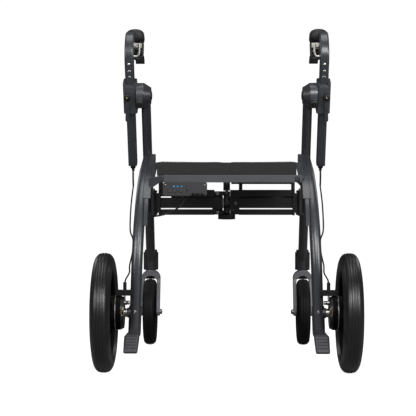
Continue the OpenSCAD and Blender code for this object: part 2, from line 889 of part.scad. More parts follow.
module centre_pin() {
    color([0.1, 0.1, 0.1])
        union() {
            zrod(366, 460, 0, gate_y, pin_d);
            zrod(366, 378.6, 0, gate_y, 48);
            zrod(446, 463, 0, gate_y, 19);
        }
}

// lock bar and its control box

module lock_bar() {
    mid = (bar_y0 + bar_y1) / 2;
    color([0.34, 0.33, 0.36])
        difference() {
            union() {
                xz(bar_y0, bar_y1)
                    difference() {
                        polygon([[-bar_pin_x + 10, bar_z0], [-bar_pin_x + 10, bar_z0 + bar_h],
                            [bar_end, bar_z0 + bar_h], [bar_end, bar_z0 + bar_h - 5],
                            [bar_hook_x + 11, bar_z0 + 2], [bar_hook_x + 11, bar_z0]]);
                        circle_at([bar_hook_x, bar_pin_z], pin_d + 4.7);
                        translate([bar_hook_x - pin_d / 2 - 2.35, bar_pin_z - 40])
                            square([pin_d + 4.7, 40]);
                    }
                xz(mid - 4.1, mid + 4.1) {
                    circle_at([-bar_pin_x, bar_pin_z], 17);
                    translate([-bar_pin_x, bar_pin_z - 8.5])
                        square([14, 17]);
                }
            }
            yrod(bar_y0 - 5, bar_y1 + 5, -bar_pin_x, bar_pin_z, pin_d + 2 * run);
        }
}

box_x0 = -bar_pin_x + 9;
box_x1 = box_x0 + box_w;
BUTTONS = [box_x0 + 17.6, box_x0 + 31.6, box_x0 + 46.2];
power_x = box_x0 + 65.7;

module control_box() {
    y1 = box_y0 + 38;
    top = bar_z0 - 0.05;
    color([0.29, 0.29, 0.29])
        difference() {
            union() {
                xz(box_y0, y1)
                    translate([(box_x0 + box_x1) / 2, (box_z0 + top) / 2])
                        soft_square(box_w, top - box_z0, 5);
                box([box_x0 + 8, box_y0 + 12, top - 6], [box_x1 - 8, y1 - 10, top]);
            }
            for (x = BUTTONS)
                yrod(box_y0 - 1, box_y0 + 5, x, box_z0 + 11.6, 8 + 2 * run);
            yrod(box_y0 - 1, box_y0 + 5, power_x, box_z0 + 17.6, 8 + 2 * run);
            box([box_x0 + 60.6, box_y0 - 1, box_z0 - 1], [box_x0 + 61.6, box_y0 + 1, top - 8]);
            xz(box_y0 - 1, box_y0 + 8) {
                translate([box_x0 + 72, box_z0 - 2])
                    square([36, 5]);
                translate([box_x0 + 76, box_z0 - 2])
                    square([28, 8]);
            }
        }
}

module button(x, z) {
    color([0.55, 0.55, 0.56])
        union() {
            yrod(box_y0 - 1.5, box_y0 + 2, x, z, 8);
            yrod(box_y0 - 2.2, box_y0 - 1.4, x, z, 6);
        }
}

module control_cable() {
    x = box_x0 + 57;
    color([0.07, 0.07, 0.07])
        cable([[x, box_y0 + 19, box_z0 - 0.2], [x - 2, box_y0 + 19, box_z0 - 12],
            [x - 16, box_y0 + 14, box_z0 - 30],
            [x - 36, box_y0 + 6, box_z0 - 42], [x - 62, box_y0 - 12, box_z0 - 50],
            [-rear_in(392) + 24.2, leg_y(388) - 11, 388]], 4.5, 7);
}

// seat: two hinged halves, each a panel with a sleeve round its rod and a band along the rear edge

module seat_half(band0, band1, tie) {
    front = seat_back_y + seat_deep;
    lug_y = seat_back_y - 2;
    lug_2 = lug_y + seat_deep - 41;
    r = seat_t / 2;
    color([0.1, 0.1, 0.1])
        difference() {
            union() {
                box([7.2, seat_back_y, seat_rod_z - r], [seat_rod_x - 11, front, seat_rod_z + r]);
                box([0.2, seat_back_y, seat_rod_z], [seat_rod_x, front, seat_rod_z + r]);
                yrod(seat_back_y, front, 0.2 + r, seat_rod_z, seat_t);
                box([seat_rod_x - 12, lug_y + 6.4, seat_rod_z - r], [seat_rod_x, lug_2 - 0.4, seat_rod_z + r]);
                yrod(lug_y + 6.4, lug_2 - 0.4, seat_rod_x, seat_rod_z, seat_t);
                xz(band0, band1) {
                    translate([0.2, seat_z - valance_h])
                        square([seat_rod_x - 5.2, valance_h]);
                }
                box([seat_rod_x - tie, band0 + 0.1, seat_rod_z - r + 1],
                    [seat_rod_x - 12, seat_back_y + 1, seat_rod_z + r]);
            }
            yrod(lug_y - 20, front + 20, seat_rod_x, seat_rod_z, 10 + 2 * run);
            box([seat_rod_x - 12, lug_y - 0.4, seat_rod_z - 20],
                [seat_rod_x + 20, lug_y + 6.4, seat_rod_z + 20]);
            box([seat_rod_x - 12, lug_2 - 0.4, seat_rod_z - 20],
                [seat_rod_x + 20, front + 1, seat_rod_z + 20]);
        }
}

module seat_left() {
    mirror([1, 0, 0])
        seat_half(seat_back_y - 7, seat_back_y - 4, 140);
}

module seat_right() {
    seat_half(seat_back_y - 3.7, seat_back_y - 0.7, seat_rod_x - 0.4);
}

// one line for each node

module side_piece(s, n) {
    if (n == "rear_leg") rear_leg();
    if (n == "front_leg") front_leg();
    if (n == "seat_rail") seat_rail(s);
    if (n == "foot_pedal") foot_pedal();
    if (n == "caster_head") caster_head();
    if (n == "rear_axle") rear_axle();
    if (n == "brake_plate") brake_plate();
    if (n == "cable_stop") cable_stop();
    if (n == "brake_arm") brake_arm();
    if (n == "rear_rim") rear_rim();
    if (n == "rear_tyre") rear_tyre();
    if (n == "caster_fork") caster_fork();
    if (n == "front_axle") front_axle();
    if (n == "front_rim") front_rim();
    if (n == "front_tyre") front_tyre();
    if (n == "clamp_block") clamp_block();
    if (n == "clamp_lever") clamp_lever();
    if (n == "handle_stem") handle_stem();
    if (n == "grip") grip();
    if (n == "brake_bracket") brake_bracket();
    if (n == "brake_lever") brake_lever();
    if (n == "cable_upper") cable_upper();
    if (n == "cable_lower") cable_lower();
    if (n == "gate_hinge") gate_hinge();
}

for (s = SIDES)
    for (n = SIDE_NODES)
        on_side(s) side_piece(s, n);
left_gate();
right_gate();
centre_pin();
lock_bar();
control_box();
button(BUTTONS[0], box_z0 + 11.6);  // button_low
button(BUTTONS[1], box_z0 + 11.6);  // button_mid
button(BUTTONS[2], box_z0 + 11.6);  // button_high
button(power_x, box_z0 + 17.6);  // power_button
seat_left();
seat_right();
control_cable();
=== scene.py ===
# %% [markdown]
# # A folding rollator that doubles as a transport chair
# The construction model already holds the tubes, wheels, joints and hinges. This lesson dresses it: the
# painted metal, moulded plastic, rubber and cloth get their finishes, and the soft or fine pieces (tyres,
# grips, seat cloth, cables, small hardware) are modelled again with more detail. Everything is in metres,
# in the frame of the construction model: X right, Y forward, Z up.

# %% Load the construction model
import json
import math
import bmesh
import bpy
import numpy as np
from mathutils import Matrix, Vector


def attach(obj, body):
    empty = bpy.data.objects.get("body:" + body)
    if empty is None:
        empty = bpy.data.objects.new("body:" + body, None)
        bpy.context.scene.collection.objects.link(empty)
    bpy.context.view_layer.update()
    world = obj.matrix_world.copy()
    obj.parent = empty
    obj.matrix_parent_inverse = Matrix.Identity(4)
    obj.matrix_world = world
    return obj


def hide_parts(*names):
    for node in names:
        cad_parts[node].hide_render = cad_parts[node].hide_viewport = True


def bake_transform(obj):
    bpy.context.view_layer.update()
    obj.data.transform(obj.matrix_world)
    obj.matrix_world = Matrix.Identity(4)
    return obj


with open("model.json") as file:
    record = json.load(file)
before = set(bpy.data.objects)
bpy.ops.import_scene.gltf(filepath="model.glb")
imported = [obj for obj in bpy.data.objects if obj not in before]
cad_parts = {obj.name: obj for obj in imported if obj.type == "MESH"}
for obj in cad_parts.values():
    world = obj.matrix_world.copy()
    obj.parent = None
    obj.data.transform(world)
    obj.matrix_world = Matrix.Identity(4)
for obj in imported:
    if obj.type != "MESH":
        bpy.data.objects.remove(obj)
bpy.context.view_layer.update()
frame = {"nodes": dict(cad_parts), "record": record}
cad = frame["nodes"]
SIDES = (("left", -1.0), ("right", 1.0))

# %% [markdown]
# ## Key places
# The handles and front tubes share one lean, and the cables run between points on the frame, so the same
# few sizes are worked out once here. Places are given for the right side; the left is its mirror.

# %% Places shared by several pieces
LEAN = math.radians(24)
UP = np.array([0.0, -math.sin(LEAN), math.cos(LEAN)])  # along a handle stem
AHEAD = np.array([0.0, math.cos(LEAN), math.sin(LEAN)])  # out of a stem's front face
SIDEWAYS = np.array([1.0, 0.0, 0.0])
FORWARD = np.array([0.0, 1.0, 0.0])
RISE = np.array([0.0, 0.0, 1.0])
REAR_AXLE = np.array([0.3065, -0.1975, 0.150])  # middle of the rear wheel
FRONT_AXLE = np.array([0.2195, 0.2525, 0.095])  # middle of the front wheel
DRUM_IN = 0.2645  # inner face of the rear wheel's drum
JOINT = np.array([0.261, 0.2735 - 0.444 * math.tan(LEAN), 0.706])
GRIP_Z = 0.863
GRIP_Y = float(JOINT[1] - (GRIP_Z - JOINT[2]) * math.tan(LEAN) + 0.080)
print("handle joint at", JOINT.round(4), "grip starts at y =", round(GRIP_Y, 4))


def on_stem(x, ahead, up):
    """A point in the right stem's own frame: the joint plus x sideways, ahead and up the stem."""
    return JOINT + x * SIDEWAYS + ahead * AHEAD + up * UP


def flip(points, side):
    """The same points on the left (-1) or right (1) side: X times the side."""
    return np.asarray(points, float) * np.array([side, 1.0, 1.0])


# %% [markdown]
# ## Mesh helpers
# Nearly every new piece is a grid: a shape that is a function of two parameters. One helper turns a grid of
# points into faces with index arithmetic, so no vertex is visited in a loop.

# %% Grids to meshes
def grid_faces(rows, cols, wrap_rows, wrap_cols):
    """Quads of a grid: corner (i, j), then (i+1, j), (i+1, j+1), (i, j+1), taken modulo where it wraps."""
    i, j = np.meshgrid(np.arange(rows if wrap_rows else rows - 1),
                       np.arange(cols if wrap_cols else cols - 1), indexing="ij")
    i, j = i.ravel(), j.ravel()
    a, b = (i + 1) % rows, (j + 1) % cols
    return np.stack([i * cols + j, a * cols + j, a * cols + b, i * cols + b], axis=1)


def mesh_piece(name, points, faces, material, flat=False):
    """An object at the origin from points (n, 3) and a list of faces, with its normals made to point
    out."""
    mesh = bpy.data.meshes.new(name)
    places = np.asarray(points, float).reshape(-1, 3).tolist()
    mesh.from_pydata(places, [], [list(map(int, f)) for f in faces])
    mesh.validate()
    mesh.polygons.foreach_set("use_smooth", np.full(len(mesh.polygons), not flat))
    obj = bpy.data.objects.new(name, mesh)
    bpy.context.scene.collection.objects.link(obj)
    work = bmesh.new()
    work.from_mesh(mesh)
    bmesh.ops.remove_doubles(work, verts=work.verts, dist=1e-6)
    bmesh.ops.recalc_face_normals(work, faces=work.faces)
    work.to_mesh(mesh)
    work.free()
    mesh.materials.append(material)
    return obj


def surface(name, grid, material, wrap_rows=False, wrap_cols=False, caps=False):
    """A piece from a grid (rows, cols, 3). caps closes the first and last rows, which must wrap in
    columns."""
    rows, cols = grid.shape[:2]
    faces = grid_faces(rows, cols, wrap_rows, wrap_cols).tolist()
    if caps:
        faces += [list(range(cols)), list(range((rows - 1) * cols, rows * cols))]
    return mesh_piece(name, grid, faces, material)


def smooth_route(points, n):
    """Points of a Catmull-Rom curve through the given ones, n to each stretch."""
    p = np.asarray(points, float)
    p = np.vstack([p[:1], p, p[-1:]])
    t = np.linspace(0, 1, n, endpoint=False)[:, None]
    parts = [0.5 * (2 * b + (c - a) * t + (2 * a - 5 * b + 4 * c - d) * t ** 2
                    + (3 * b - a - 3 * c + d) * t ** 3)
             for a, b, c, d in zip(p[:-3], p[1:-2], p[2:-1], p[3:])]
    return np.vstack(parts + [p[-2:-1]])


def unit(v):
    """A vector, or each row of an array, divided by its length."""
    return v / np.linalg.norm(v, axis=-1, keepdims=True)


def carry(path, profile):
    """A closed profile (cols, 2) carried along a path: each ring is the point plus profile x and y along
    two directions that turn with the path as little as they can."""
    ahead = unit(np.gradient(path, axis=0))
    side = np.cross(ahead[0], [0.3, 0.5, 0.81])
    sides = []
    for t in ahead:
        side = unit(side - (side @ t) * t)
        sides.append(side)
    sides = np.array(sides)
    up = np.cross(ahead, sides)
    return path[:, None, :] + sides[:, None, :] * profile[None, :, :1] + up[:, None, :] * profile[None, :, 1:]


def angles(n):
    """n even angles round a circle."""
    return np.linspace(0, 2 * np.pi, n, endpoint=False)


def ring(r, n):
    """n points of a circle of radius r: r cos, r sin of even angles."""
    a = angles(n)
    return r * np.stack([np.cos(a), np.sin(a)], axis=1)


def turned(profile, origin, axis, n):
    """A profile of (radius, height) turned about an axis through origin: a grid of n steps round by the
    profile."""
    axis = unit(np.asarray(axis, float))
    x = unit(np.cross(axis, RISE if abs(axis[2]) < 0.9 else SIDEWAYS))
    y = np.cross(axis, x)
    a = angles(n)[:, None, None]
    p = np.asarray(profile, float)[None, :, :]
    return np.asarray(origin) + p[..., :1] * (np.cos(a) * x + np.sin(a) * y) + p[..., 1:] * axis


# %% [markdown]
# ## Shared finish groups
# A real product shares its surface traits: edges catch light and wear pale, plastic has a fine grain, dust
# settles on upper faces, cloth has a weave. Each trait is one node group that gives a mask, a height or a
# normal, so the materials stay short and agree with each other.

# %% Node group helpers
VALUE, VECTOR = "NodeSocketFloat", "NodeSocketVector"


def put(tree, kind, links=None, **values):
    """Adds a node; values set its own settings or its inputs by name, links joins sockets to its inputs."""
    node = tree.nodes.new(kind)
    for key, value in values.items():
        if hasattr(node, key):
            setattr(node, key, value)
        else:
            node.inputs[key.replace("_", " ")].default_value = value
    for key, socket in (links or {}).items():
        tree.links.new(socket, node.inputs[key])
    return node


def math_node(tree, operation, a, b=None, clamp=False):
    """One Math node; a and b are sockets or numbers."""
    node = tree.nodes.new("ShaderNodeMath")
    node.operation = operation
    node.use_clamp = clamp
    for k, v in enumerate((a, b)):
        if v is None:
            continue
        if isinstance(v, (int, float)):
            node.inputs[k].default_value = v
        else:
            tree.links.new(v, node.inputs[k])
    return node.outputs[0]


def times(tree, a, b, clamp=False):
    """The product of two sockets or numbers."""
    return math_node(tree, "MULTIPLY", a, b, clamp)


def plus(tree, a, b, clamp=False):
    """The sum of two sockets or numbers."""
    return math_node(tree, "ADD", a, b, clamp)


def less(tree, a, b, clamp=False):
    """The first socket or number less the second."""
    return math_node(tree, "SUBTRACT", a, b, clamp)


def object_place(tree):
    """The point's place on its object."""
    return put(tree, "ShaderNodeTexCoord").outputs["Object"]


def new_group(name, inputs, outputs):
    """An empty shader group with value inputs (name, default) and typed outputs (name, type)."""
    tree = bpy.data.node_groups.new(name, "ShaderNodeTree")
    for label, default in inputs:
        tree.interface.new_socket(label, in_out="INPUT", socket_type=VALUE).default_value = default
    for label, kind in outputs:
        tree.interface.new_socket(label, in_out="OUTPUT", socket_type=kind)
    return tree, tree.nodes.new("NodeGroupInput").outputs, tree.nodes.new("NodeGroupOutput").inputs


def worn_edges():
    """Rounded normal of nearby edges, and a mask of how far it leans from the true one, broken up by
    noise."""
    t, i, o = new_group("worn edges", [("Radius", 0.001), ("Breakup", 90.0)],
                        [("Normal", VECTOR), ("Mask", VALUE)])
    bevel = put(t, "ShaderNodeBevel", {"Radius": i["Radius"]}, samples=4)
    true = put(t, "ShaderNodeNewGeometry").outputs["Normal"]
    dot = put(t, "ShaderNodeVectorMath", operation="DOT_PRODUCT")
    t.links.new(bevel.outputs[0], dot.inputs[0])
    t.links.new(true, dot.inputs[1])
    lean = less(t, 1.0, dot.outputs["Value"], clamp=True)
    noise = put(t, "ShaderNodeTexNoise", {"Vector": object_place(t), "Scale": i["Breakup"]},
                Detail=4.0, Roughness=0.6)
    wear = times(t, times(t, lean, 5.0, clamp=True), noise.outputs["Fac"])
    t.links.new(bevel.outputs[0], o["Normal"])
    t.links.new(wear, o["Mask"])
    return t


def fine_grain():
    """Moulding grain: small cells softened by noise, as a height; and wide soft patches from 0 to 1."""
    t, i, o = new_group("fine grain", [("Scale", 900.0)], [("Height", VALUE), ("Patches", VALUE)])
    place = object_place(t)
    cells = put(t, "ShaderNodeTexVoronoi", {"Vector": place, "Scale": i["Scale"]}, feature="SMOOTH_F1")
    noise = put(t, "ShaderNodeTexNoise", {"Vector": place, "Scale": i["Scale"]}, Detail=3.0)
    patches = put(t, "ShaderNodeTexNoise", {"Vector": place}, Scale=14.0, Detail=3.0)
    height = plus(t, times(t, cells.outputs["Distance"], 0.7), times(t, noise.outputs["Fac"], 0.4))
    t.links.new(height, o["Height"])
    t.links.new(patches.outputs["Fac"], o["Patches"])
    return t


def settled_dust():
    """Dust lies on faces that look up: the normal's height, times cloudy noise."""
    t, i, o = new_group("settled dust", [("Amount", 0.3)], [("Mask", VALUE)])
    place = object_place(t)
    normal = put(t, "ShaderNodeNewGeometry").outputs["Normal"]
    up = put(t, "ShaderNodeSeparateXYZ", {"Vector": normal}).outputs["Z"]
    noise = put(t, "ShaderNodeTexNoise", {"Vector": place}, Scale=38.0, Detail=6.0, Roughness=0.7)
    cloud = times(t, less(t, noise.outputs["Fac"], 0.42, clamp=True), 3.0, clamp=True)
    t.links.new(times(t, times(t, math_node(t, "MAXIMUM", up, 0.0), cloud), i["Amount"]), o["Mask"])
    return t


def plain_weave():
    """Over-and-under threads on the UV map: two rows of rounded bumps, each up where the other is down, and a
    mask of the gaps between them for painted shade.
    """
    t, i, o = new_group("plain weave", [("Scale", 1.0)], [("Height", VALUE), ("Gap shade", VALUE)])
    uv = put(t, "ShaderNodeUVMap", uv_map="cloth").outputs["UV"]
    split = put(t, "ShaderNodeSeparateXYZ", {"Vector": uv})
    u = times(t, split.outputs["X"], i["Scale"])
    v = times(t, split.outputs["Y"], i["Scale"])
    su, sv = math_node(t, "SINE", u), math_node(t, "SINE", v)
    cross = times(t, su, sv)
    warp = math_node(t, "ABSOLUTE", math_node(t, "COSINE", u))
    weft = math_node(t, "ABSOLUTE", math_node(t, "COSINE", v))
    over = math_node(t, "GREATER_THAN", cross, 0.0)
    under = less(t, 1.0, over)
    height = plus(t, times(t, over, math_node(t, "ABSOLUTE", su)),
                  times(t, under, math_node(t, "ABSOLUTE", sv)))
    t.links.new(height, o["Height"])
    t.links.new(times(t, warp, weft), o["Gap shade"])
    return t


GROUPS = {"edges": worn_edges(), "grain": fine_grain(), "dust": settled_dust(), "weave": plain_weave()}
print("finish groups:", sorted(g.name for g in GROUPS.values()))


# %% [markdown]
# ## Material helpers
# A material places the groups with its own values and mixes their masks into the colour, roughness and
# normal of one Principled shader. These helpers keep each finish to a few lines.

# %% Material helpers
def use(tree, group, **values):
    """A group node in a material, with its inputs set."""
    node = tree.nodes.new("ShaderNodeGroup")
    node.node_tree = GROUPS[group]
    for key, value in values.items():
        node.inputs[key].default_value = value
    return node.outputs


def mix(tree, fac, a, b):
    """A colour mix; a and b are sockets or colours."""
    node = tree.nodes.new("ShaderNodeMix")
    node.data_type = "RGBA"
    tree.links.new(fac, node.inputs["Factor"])
    for key, v in (("A", a), ("B", b)):
        slot = [s for s in node.inputs if s.name == key and s.type == "RGBA"][0]
        if isinstance(v, (tuple, list)):
            slot.default_value = (*v, 1.0)
        else:
            tree.links.new(v, slot)
    return [s for s in node.outputs if s.type == "RGBA"][0]


def start_material(name):
    """A new material, its node tree and the inputs of its Principled shader."""
    mat = bpy.data.materials.new(name)
    mat.use_nodes = True
    tree = mat.node_tree
    return mat, tree, tree.nodes["Principled BSDF"].inputs


def set_inputs(inputs, **values):
    """Sets shader inputs by name, with _ for a space."""
    for key, value in values.items():
        inputs[key.replace("_", " ")].default_value = value


def raise_bumps(tree, inputs, height, strength, distance, normal=None):
    """A Bump node from a height to the shader's Normal, starting from another normal where one is given."""
    links = {"Height": height}
    if normal is not None:
        links["Normal"] = normal
    bump = put(tree, "ShaderNodeBump", links, Strength=strength, Distance=distance)
    tree.links.new(bump.outputs[0], inputs["Normal"])


def lin(*srgb):
    """Linear colour from sRGB values of 0 to 255."""
    c = np.array(srgb) / 255.0
    return tuple(float(x) for x in np.where(c <= 0.04045, c / 12.92, ((c + 0.055) / 1.055) ** 2.4))


def shade(colour, by, lift=0.0):
    """A lighter or darker colour: each channel times a factor plus a lift, at most 1."""
    return tuple(min(1.0, c * by + lift) for c in colour)


# %% [markdown]
# ## Painted metal
# The frame is satin powder coat in a dark blue-grey. Powder coat has a faint orange peel, a soft highlight
# and slightly pale edges, so one function makes each shade with the same traits.

# %% Painted metal
def paint(name, colour, rough=0.42, coat=0.3, peel=0.04, wear=0.35, dust=0.05):
    """Satin paint: the colour shifts a little in patches, pales on worn edges and under dust; bump is
    orange peel."""
    mat, t, s = start_material(name)
    grain = use(t, "grain", Scale=420.0)
    edge = use(t, "edges", Radius=0.0022)
    film = use(t, "dust", Amount=dust)
    tone = mix(t, grain["Patches"], colour, shade(colour, 1.22, 0.004))
    worn = mix(t, times(t, edge["Mask"], wear), tone, shade(colour, 1.8, 0.010))
    t.links.new(mix(t, film["Mask"], worn, lin(150, 148, 144)), s["Base Color"])
    rough_map = plus(t, times(t, grain["Patches"], 0.14), rough - 0.07)
    t.links.new(plus(t, rough_map, times(t, film["Mask"], 0.4), clamp=True), s["Roughness"])
    raise_bumps(t, s, grain["Height"], peel, 0.0006, edge["Normal"])
    set_inputs(s, Coat_Weight=coat, Coat_Roughness=0.2)
    return mat


# %% [markdown]
# ## Plastic, rubber and bare metal
# Moulded plastic has a visible fine grain and dull highlight; rubber is mostly duller, with a stronger grain;
# the few bare metal pieces are brushed or plated.

# %% Moulded plastic, rubber and metal
def moulded(name, colour, rough=0.5, grain_scale=1100.0, bump_by=0.06, wear=0.3, dust=0.06, specular=0.5):
    """Moulded surface: fine grain bump, paler rubbed edges, dust on upper faces."""
    mat, t, s = start_material(name)
    grain = use(t, "grain", Scale=grain_scale)
    edge = use(t, "edges", Radius=0.0009)
    film = use(t, "dust", Amount=dust)
    tone = mix(t, grain["Patches"], shade(colour, 0.85), shade(colour, 1.2, 0.002))
    worn = mix(t, times(t, edge["Mask"], wear), tone, shade(colour, 2.0, 0.006))
    t.links.new(mix(t, film["Mask"], worn, lin(140, 137, 132)), s["Base Color"])
    t.links.new(plus(t, times(t, grain["Patches"], 0.2), rough - 0.1), s["Roughness"])
    raise_bumps(t, s, grain["Height"], bump_by, 0.0005, edge["Normal"])
    set_inputs(s, Specular_IOR_Level=specular)
    return mat


def metal(name, colour, rough):
    """Plated or brushed metal: streaks from noise stretched along one axis, paler worn edges."""
    stretch, streak_bump = (400.0, 400.0, 12.0), 0.05
    mat, t, s = start_material(name)
    mapped = put(t, "ShaderNodeMapping", {"Vector": object_place(t)}, Scale=stretch)
    noise = put(t, "ShaderNodeTexNoise", {"Vector": mapped.outputs[0]}, Scale=1.0, Detail=3.0)
    streak = noise.outputs["Fac"]
    edge = use(t, "edges", Radius=0.0006)
    tone = mix(t, streak, shade(colour, 0.72), colour)
    t.links.new(mix(t, times(t, edge["Mask"], 0.4), tone, shade(colour, 1.3)), s["Base Color"])
    t.links.new(plus(t, times(t, streak, 0.22), rough - 0.08), s["Roughness"])
    raise_bumps(t, s, streak, streak_bump, 0.0004, edge["Normal"])
    set_inputs(s, Metallic=1.0)
    return mat


# %% [markdown]
# ## Seat cloth
# The sling seat is tightly woven black polyester. The weave is drawn on the cloth's own UV map in metres,
# so threads stay about a millimetre wide everywhere, and sheen gives the dry cloth edge glow.

# %% Seat cloth
def cloth(name, colour):
    """Woven cloth: thread bumps, painted shade in the gaps between threads, soft patches of fading, and a
    little sheen.
    """
    thread = 0.0011
    mat, t, s = start_material(name)
    weave = use(t, "weave", Scale=math.pi / thread)
    grain = use(t, "grain", Scale=60.0)
    tone = mix(t, grain["Patches"], shade(colour, 0.8), shade(colour, 1.35))
    # Painted shade: the gaps between threads are darkened.
    t.links.new(mix(t, times(t, weave["Gap shade"], 0.6), tone, shade(colour, 0.25)), s["Base Color"])
    raise_bumps(t, s, weave["Height"], 0.55, 0.0005)
    set_inputs(s, Roughness=0.82, Sheen_Weight=0.25, Sheen_Roughness=0.5)
    return mat


# %% [markdown]
# ## The finishes
# Each construction piece names a slot, and each slot has one finish; a few pieces have their own. A tyre's
# sidewall gets painted light or shade, mixed in by the distance from the wheel's middle plane: the rear
# sidewall is painted lighter than its tread, and the front one is painted dark with its highlight dulled.

# %% Every finish by its slot
FINISH = {
    "frame_light": paint("satin blue-grey paint", lin(42, 43, 48), rough=0.34),
    "frame_dark": paint("satin charcoal paint", lin(36, 36, 39), rough=0.32),
    "clamp_grey": paint("grey die casting", lin(54, 55, 60), rough=0.36, peel=0.06),
    "fork_grey": paint("grey fork paint", lin(94, 94, 98), rough=0.38),
    "black_metal": paint("black coated steel", lin(5, 5, 6), rough=0.4, coat=0.05),
    "boot_plastic": moulded("dark grey boot plastic", lin(41, 41, 45), rough=0.42),
    "black_plastic": moulded("black moulded plastic", lin(14, 14, 15), rough=0.4),
    # Partly painted shade: the wheel plastic is black, and is taken near zero with its highlight nearly gone
    # so the wheel's inside reads as shade.
    "wheel_plastic": moulded("black wheel plastic darkened for shade", lin(1, 1, 1), rough=0.6, specular=0.06, wear=0.0),
    "box_plastic": moulded("grey housing plastic", lin(46, 46, 48), rough=0.46, grain_scale=1500.0),
    "button_grey": moulded("dark button plastic", lin(58, 58, 60), rough=0.38, wear=0.1),
    "grip_rubber": moulded("soft grip rubber", lin(8, 8, 8), rough=0.6, grain_scale=800.0, bump_by=0.15),
    "tyre": moulded("tyre rubber", lin(16, 16, 17), rough=0.34, grain_scale=500.0, bump_by=0.12, dust=0.05),
    # Painted shade: the front tyres get a darker, duller copy of the tyre rubber.
    "tyre_front_shaded": moulded("front tyre rubber painted dark for shade", lin(6, 6, 7), rough=0.6, grain_scale=500.0, bump_by=0.18,
                          specular=0.18),
    "cable": moulded("cable sheath", lin(5, 5, 6), rough=0.5, wear=0.1, specular=0.25),
    "seat_fabric": cloth("woven seat cloth", lin(26, 26, 27)),
    "silver": metal("bright die casting", lin(205, 203, 196), rough=0.32),
    "steel": metal("zinc plated steel", lin(165, 165, 163), rough=0.34),
    "brass": metal("yellow plated steel", lin(198, 180, 148), rough=0.35),
    "bar_paint": paint("satin grey bar paint", lin(64, 65, 70), rough=0.4),
    "gate_paint": paint("black gate paint", lin(20, 20, 22), rough=0.45, coat=0.05),
}
OWN_FINISH = {"left_brake_arm": "steel", "right_brake_arm": "steel", "lock_bar": "bar_paint",
              "left_gate": "gate_paint", "right_gate": "gate_paint"}


def painted_sidewall_light(material, middle, start, stop, grey, dulled):
    """Painted light and shade on a tyre's sidewall: mixes in a grey from start to stop away from the wheel's
    middle plane, and takes the share dulled off the highlight there."""
    t = material.node_tree
    s = t.nodes["Principled BSDF"].inputs
    across = put(t, "ShaderNodeSeparateXYZ", {"Vector": object_place(t)}).outputs["X"]
    off = math_node(t, "ABSOLUTE", less(t, math_node(t, "ABSOLUTE", across), middle))
    painted_wall = math_node(t, "DIVIDE", less(t, off, start), stop - start, clamp=True)
    tread = s["Base Color"].links[0].from_socket
    t.links.new(mix(t, painted_wall, tread, lin(grey, grey, grey)), s["Base Color"])
    shine = s["Specular IOR Level"].default_value
    t.links.new(times(t, less(t, 1.0, times(t, painted_wall, dulled)), shine), s["Specular IOR Level"])


# Painted light: the rear sidewall is lighter than its tread. Painted shade: the front sidewall stays dark
# with its highlight dulled.
painted_sidewall_light(FINISH["tyre"], REAR_AXLE[0], 0.0185, 0.0235, 27, 0.0)
painted_sidewall_light(FINISH["tyre_front_shaded"], FRONT_AXLE[0], 0.012, 0.017, 6, 0.7)
slot_of = {p["node"]: p["material_slot"] for p in frame["record"]["subparts"]}
for name, obj in cad.items():
    obj.data.materials.clear()
    obj.data.materials.append(FINISH[OWN_FINISH.get(name, slot_of[name])])
print("finishes:", len(FINISH))

# %% [markdown]
# ## Tyres
# A tyre's section has a rounded crown, sidewalls that swell to the widest place and a tuck in to the bead;
# three grooves run round the crown and shallow blocks break its edges. The section is turned about the
# axle, so the surface is a function of the angle round and the way along the section.

# %% Tyres
TYRE_SHY, BEAD_GAP = 0.0002, 0.0005  # inside the construction model's tyre, at the tread and at the bead
TYRE_STEPS, SECTION_POINTS = 288, 121
TYRES = {
    "rear": (REAR_AXLE, "tyre", {"r_out": 0.150, "r_in": 0.112, "width": 0.050,
                                 "power": 0.7, "low": 0.74, "crown": 0.84}),
    "front": (FRONT_AXLE, "tyre_front_shaded", {"r_out": 0.095, "r_in": 0.070, "width": 0.034,
                                         "power": 1.0, "low": 0.5, "crown": 1.0}),
}


def settle(piece, body):
    """Says which body a piece rides on."""
    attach(piece, body)
    return piece


def tyre_section(r_out, r_in, width, power, low, crown):
    """Arrays x, radius and angle from the crown, evenly along the section. drop = 1 - cosine to the power,
    and tuck goes from 0 at the widest place to 1 at the bead. x = half the width times sine to the power
    times the crown's share, which drop raises to 1, less a part that grows with tuck; the radius falls by
    the share low of the height with drop and by the rest with tuck."""
    bead = 128
    a = np.radians(np.linspace(-bead, bead, 4001))
    drop = 1 - np.clip(np.cos(a), 0, 1) ** power
    tuck = np.clip((np.abs(a) - np.pi / 2) / np.radians(bead - 90), 0, 1)
    swell = np.abs(np.sin(a)) ** power * (crown + (1 - crown) * drop)
    x = width / 2 * np.sign(a) * np.where(tuck > 0, 1 - 0.32 * tuck ** 1.3, swell)
    r = r_out - (r_out - r_in) * (low * drop + (1 - low) * tuck)
    way = np.append(0, np.cumsum(np.hypot(np.diff(x), np.diff(r))))
    even = np.linspace(0, way[-1], SECTION_POINTS)
    return [np.interp(even, way, v) for v in (x, r, a)]


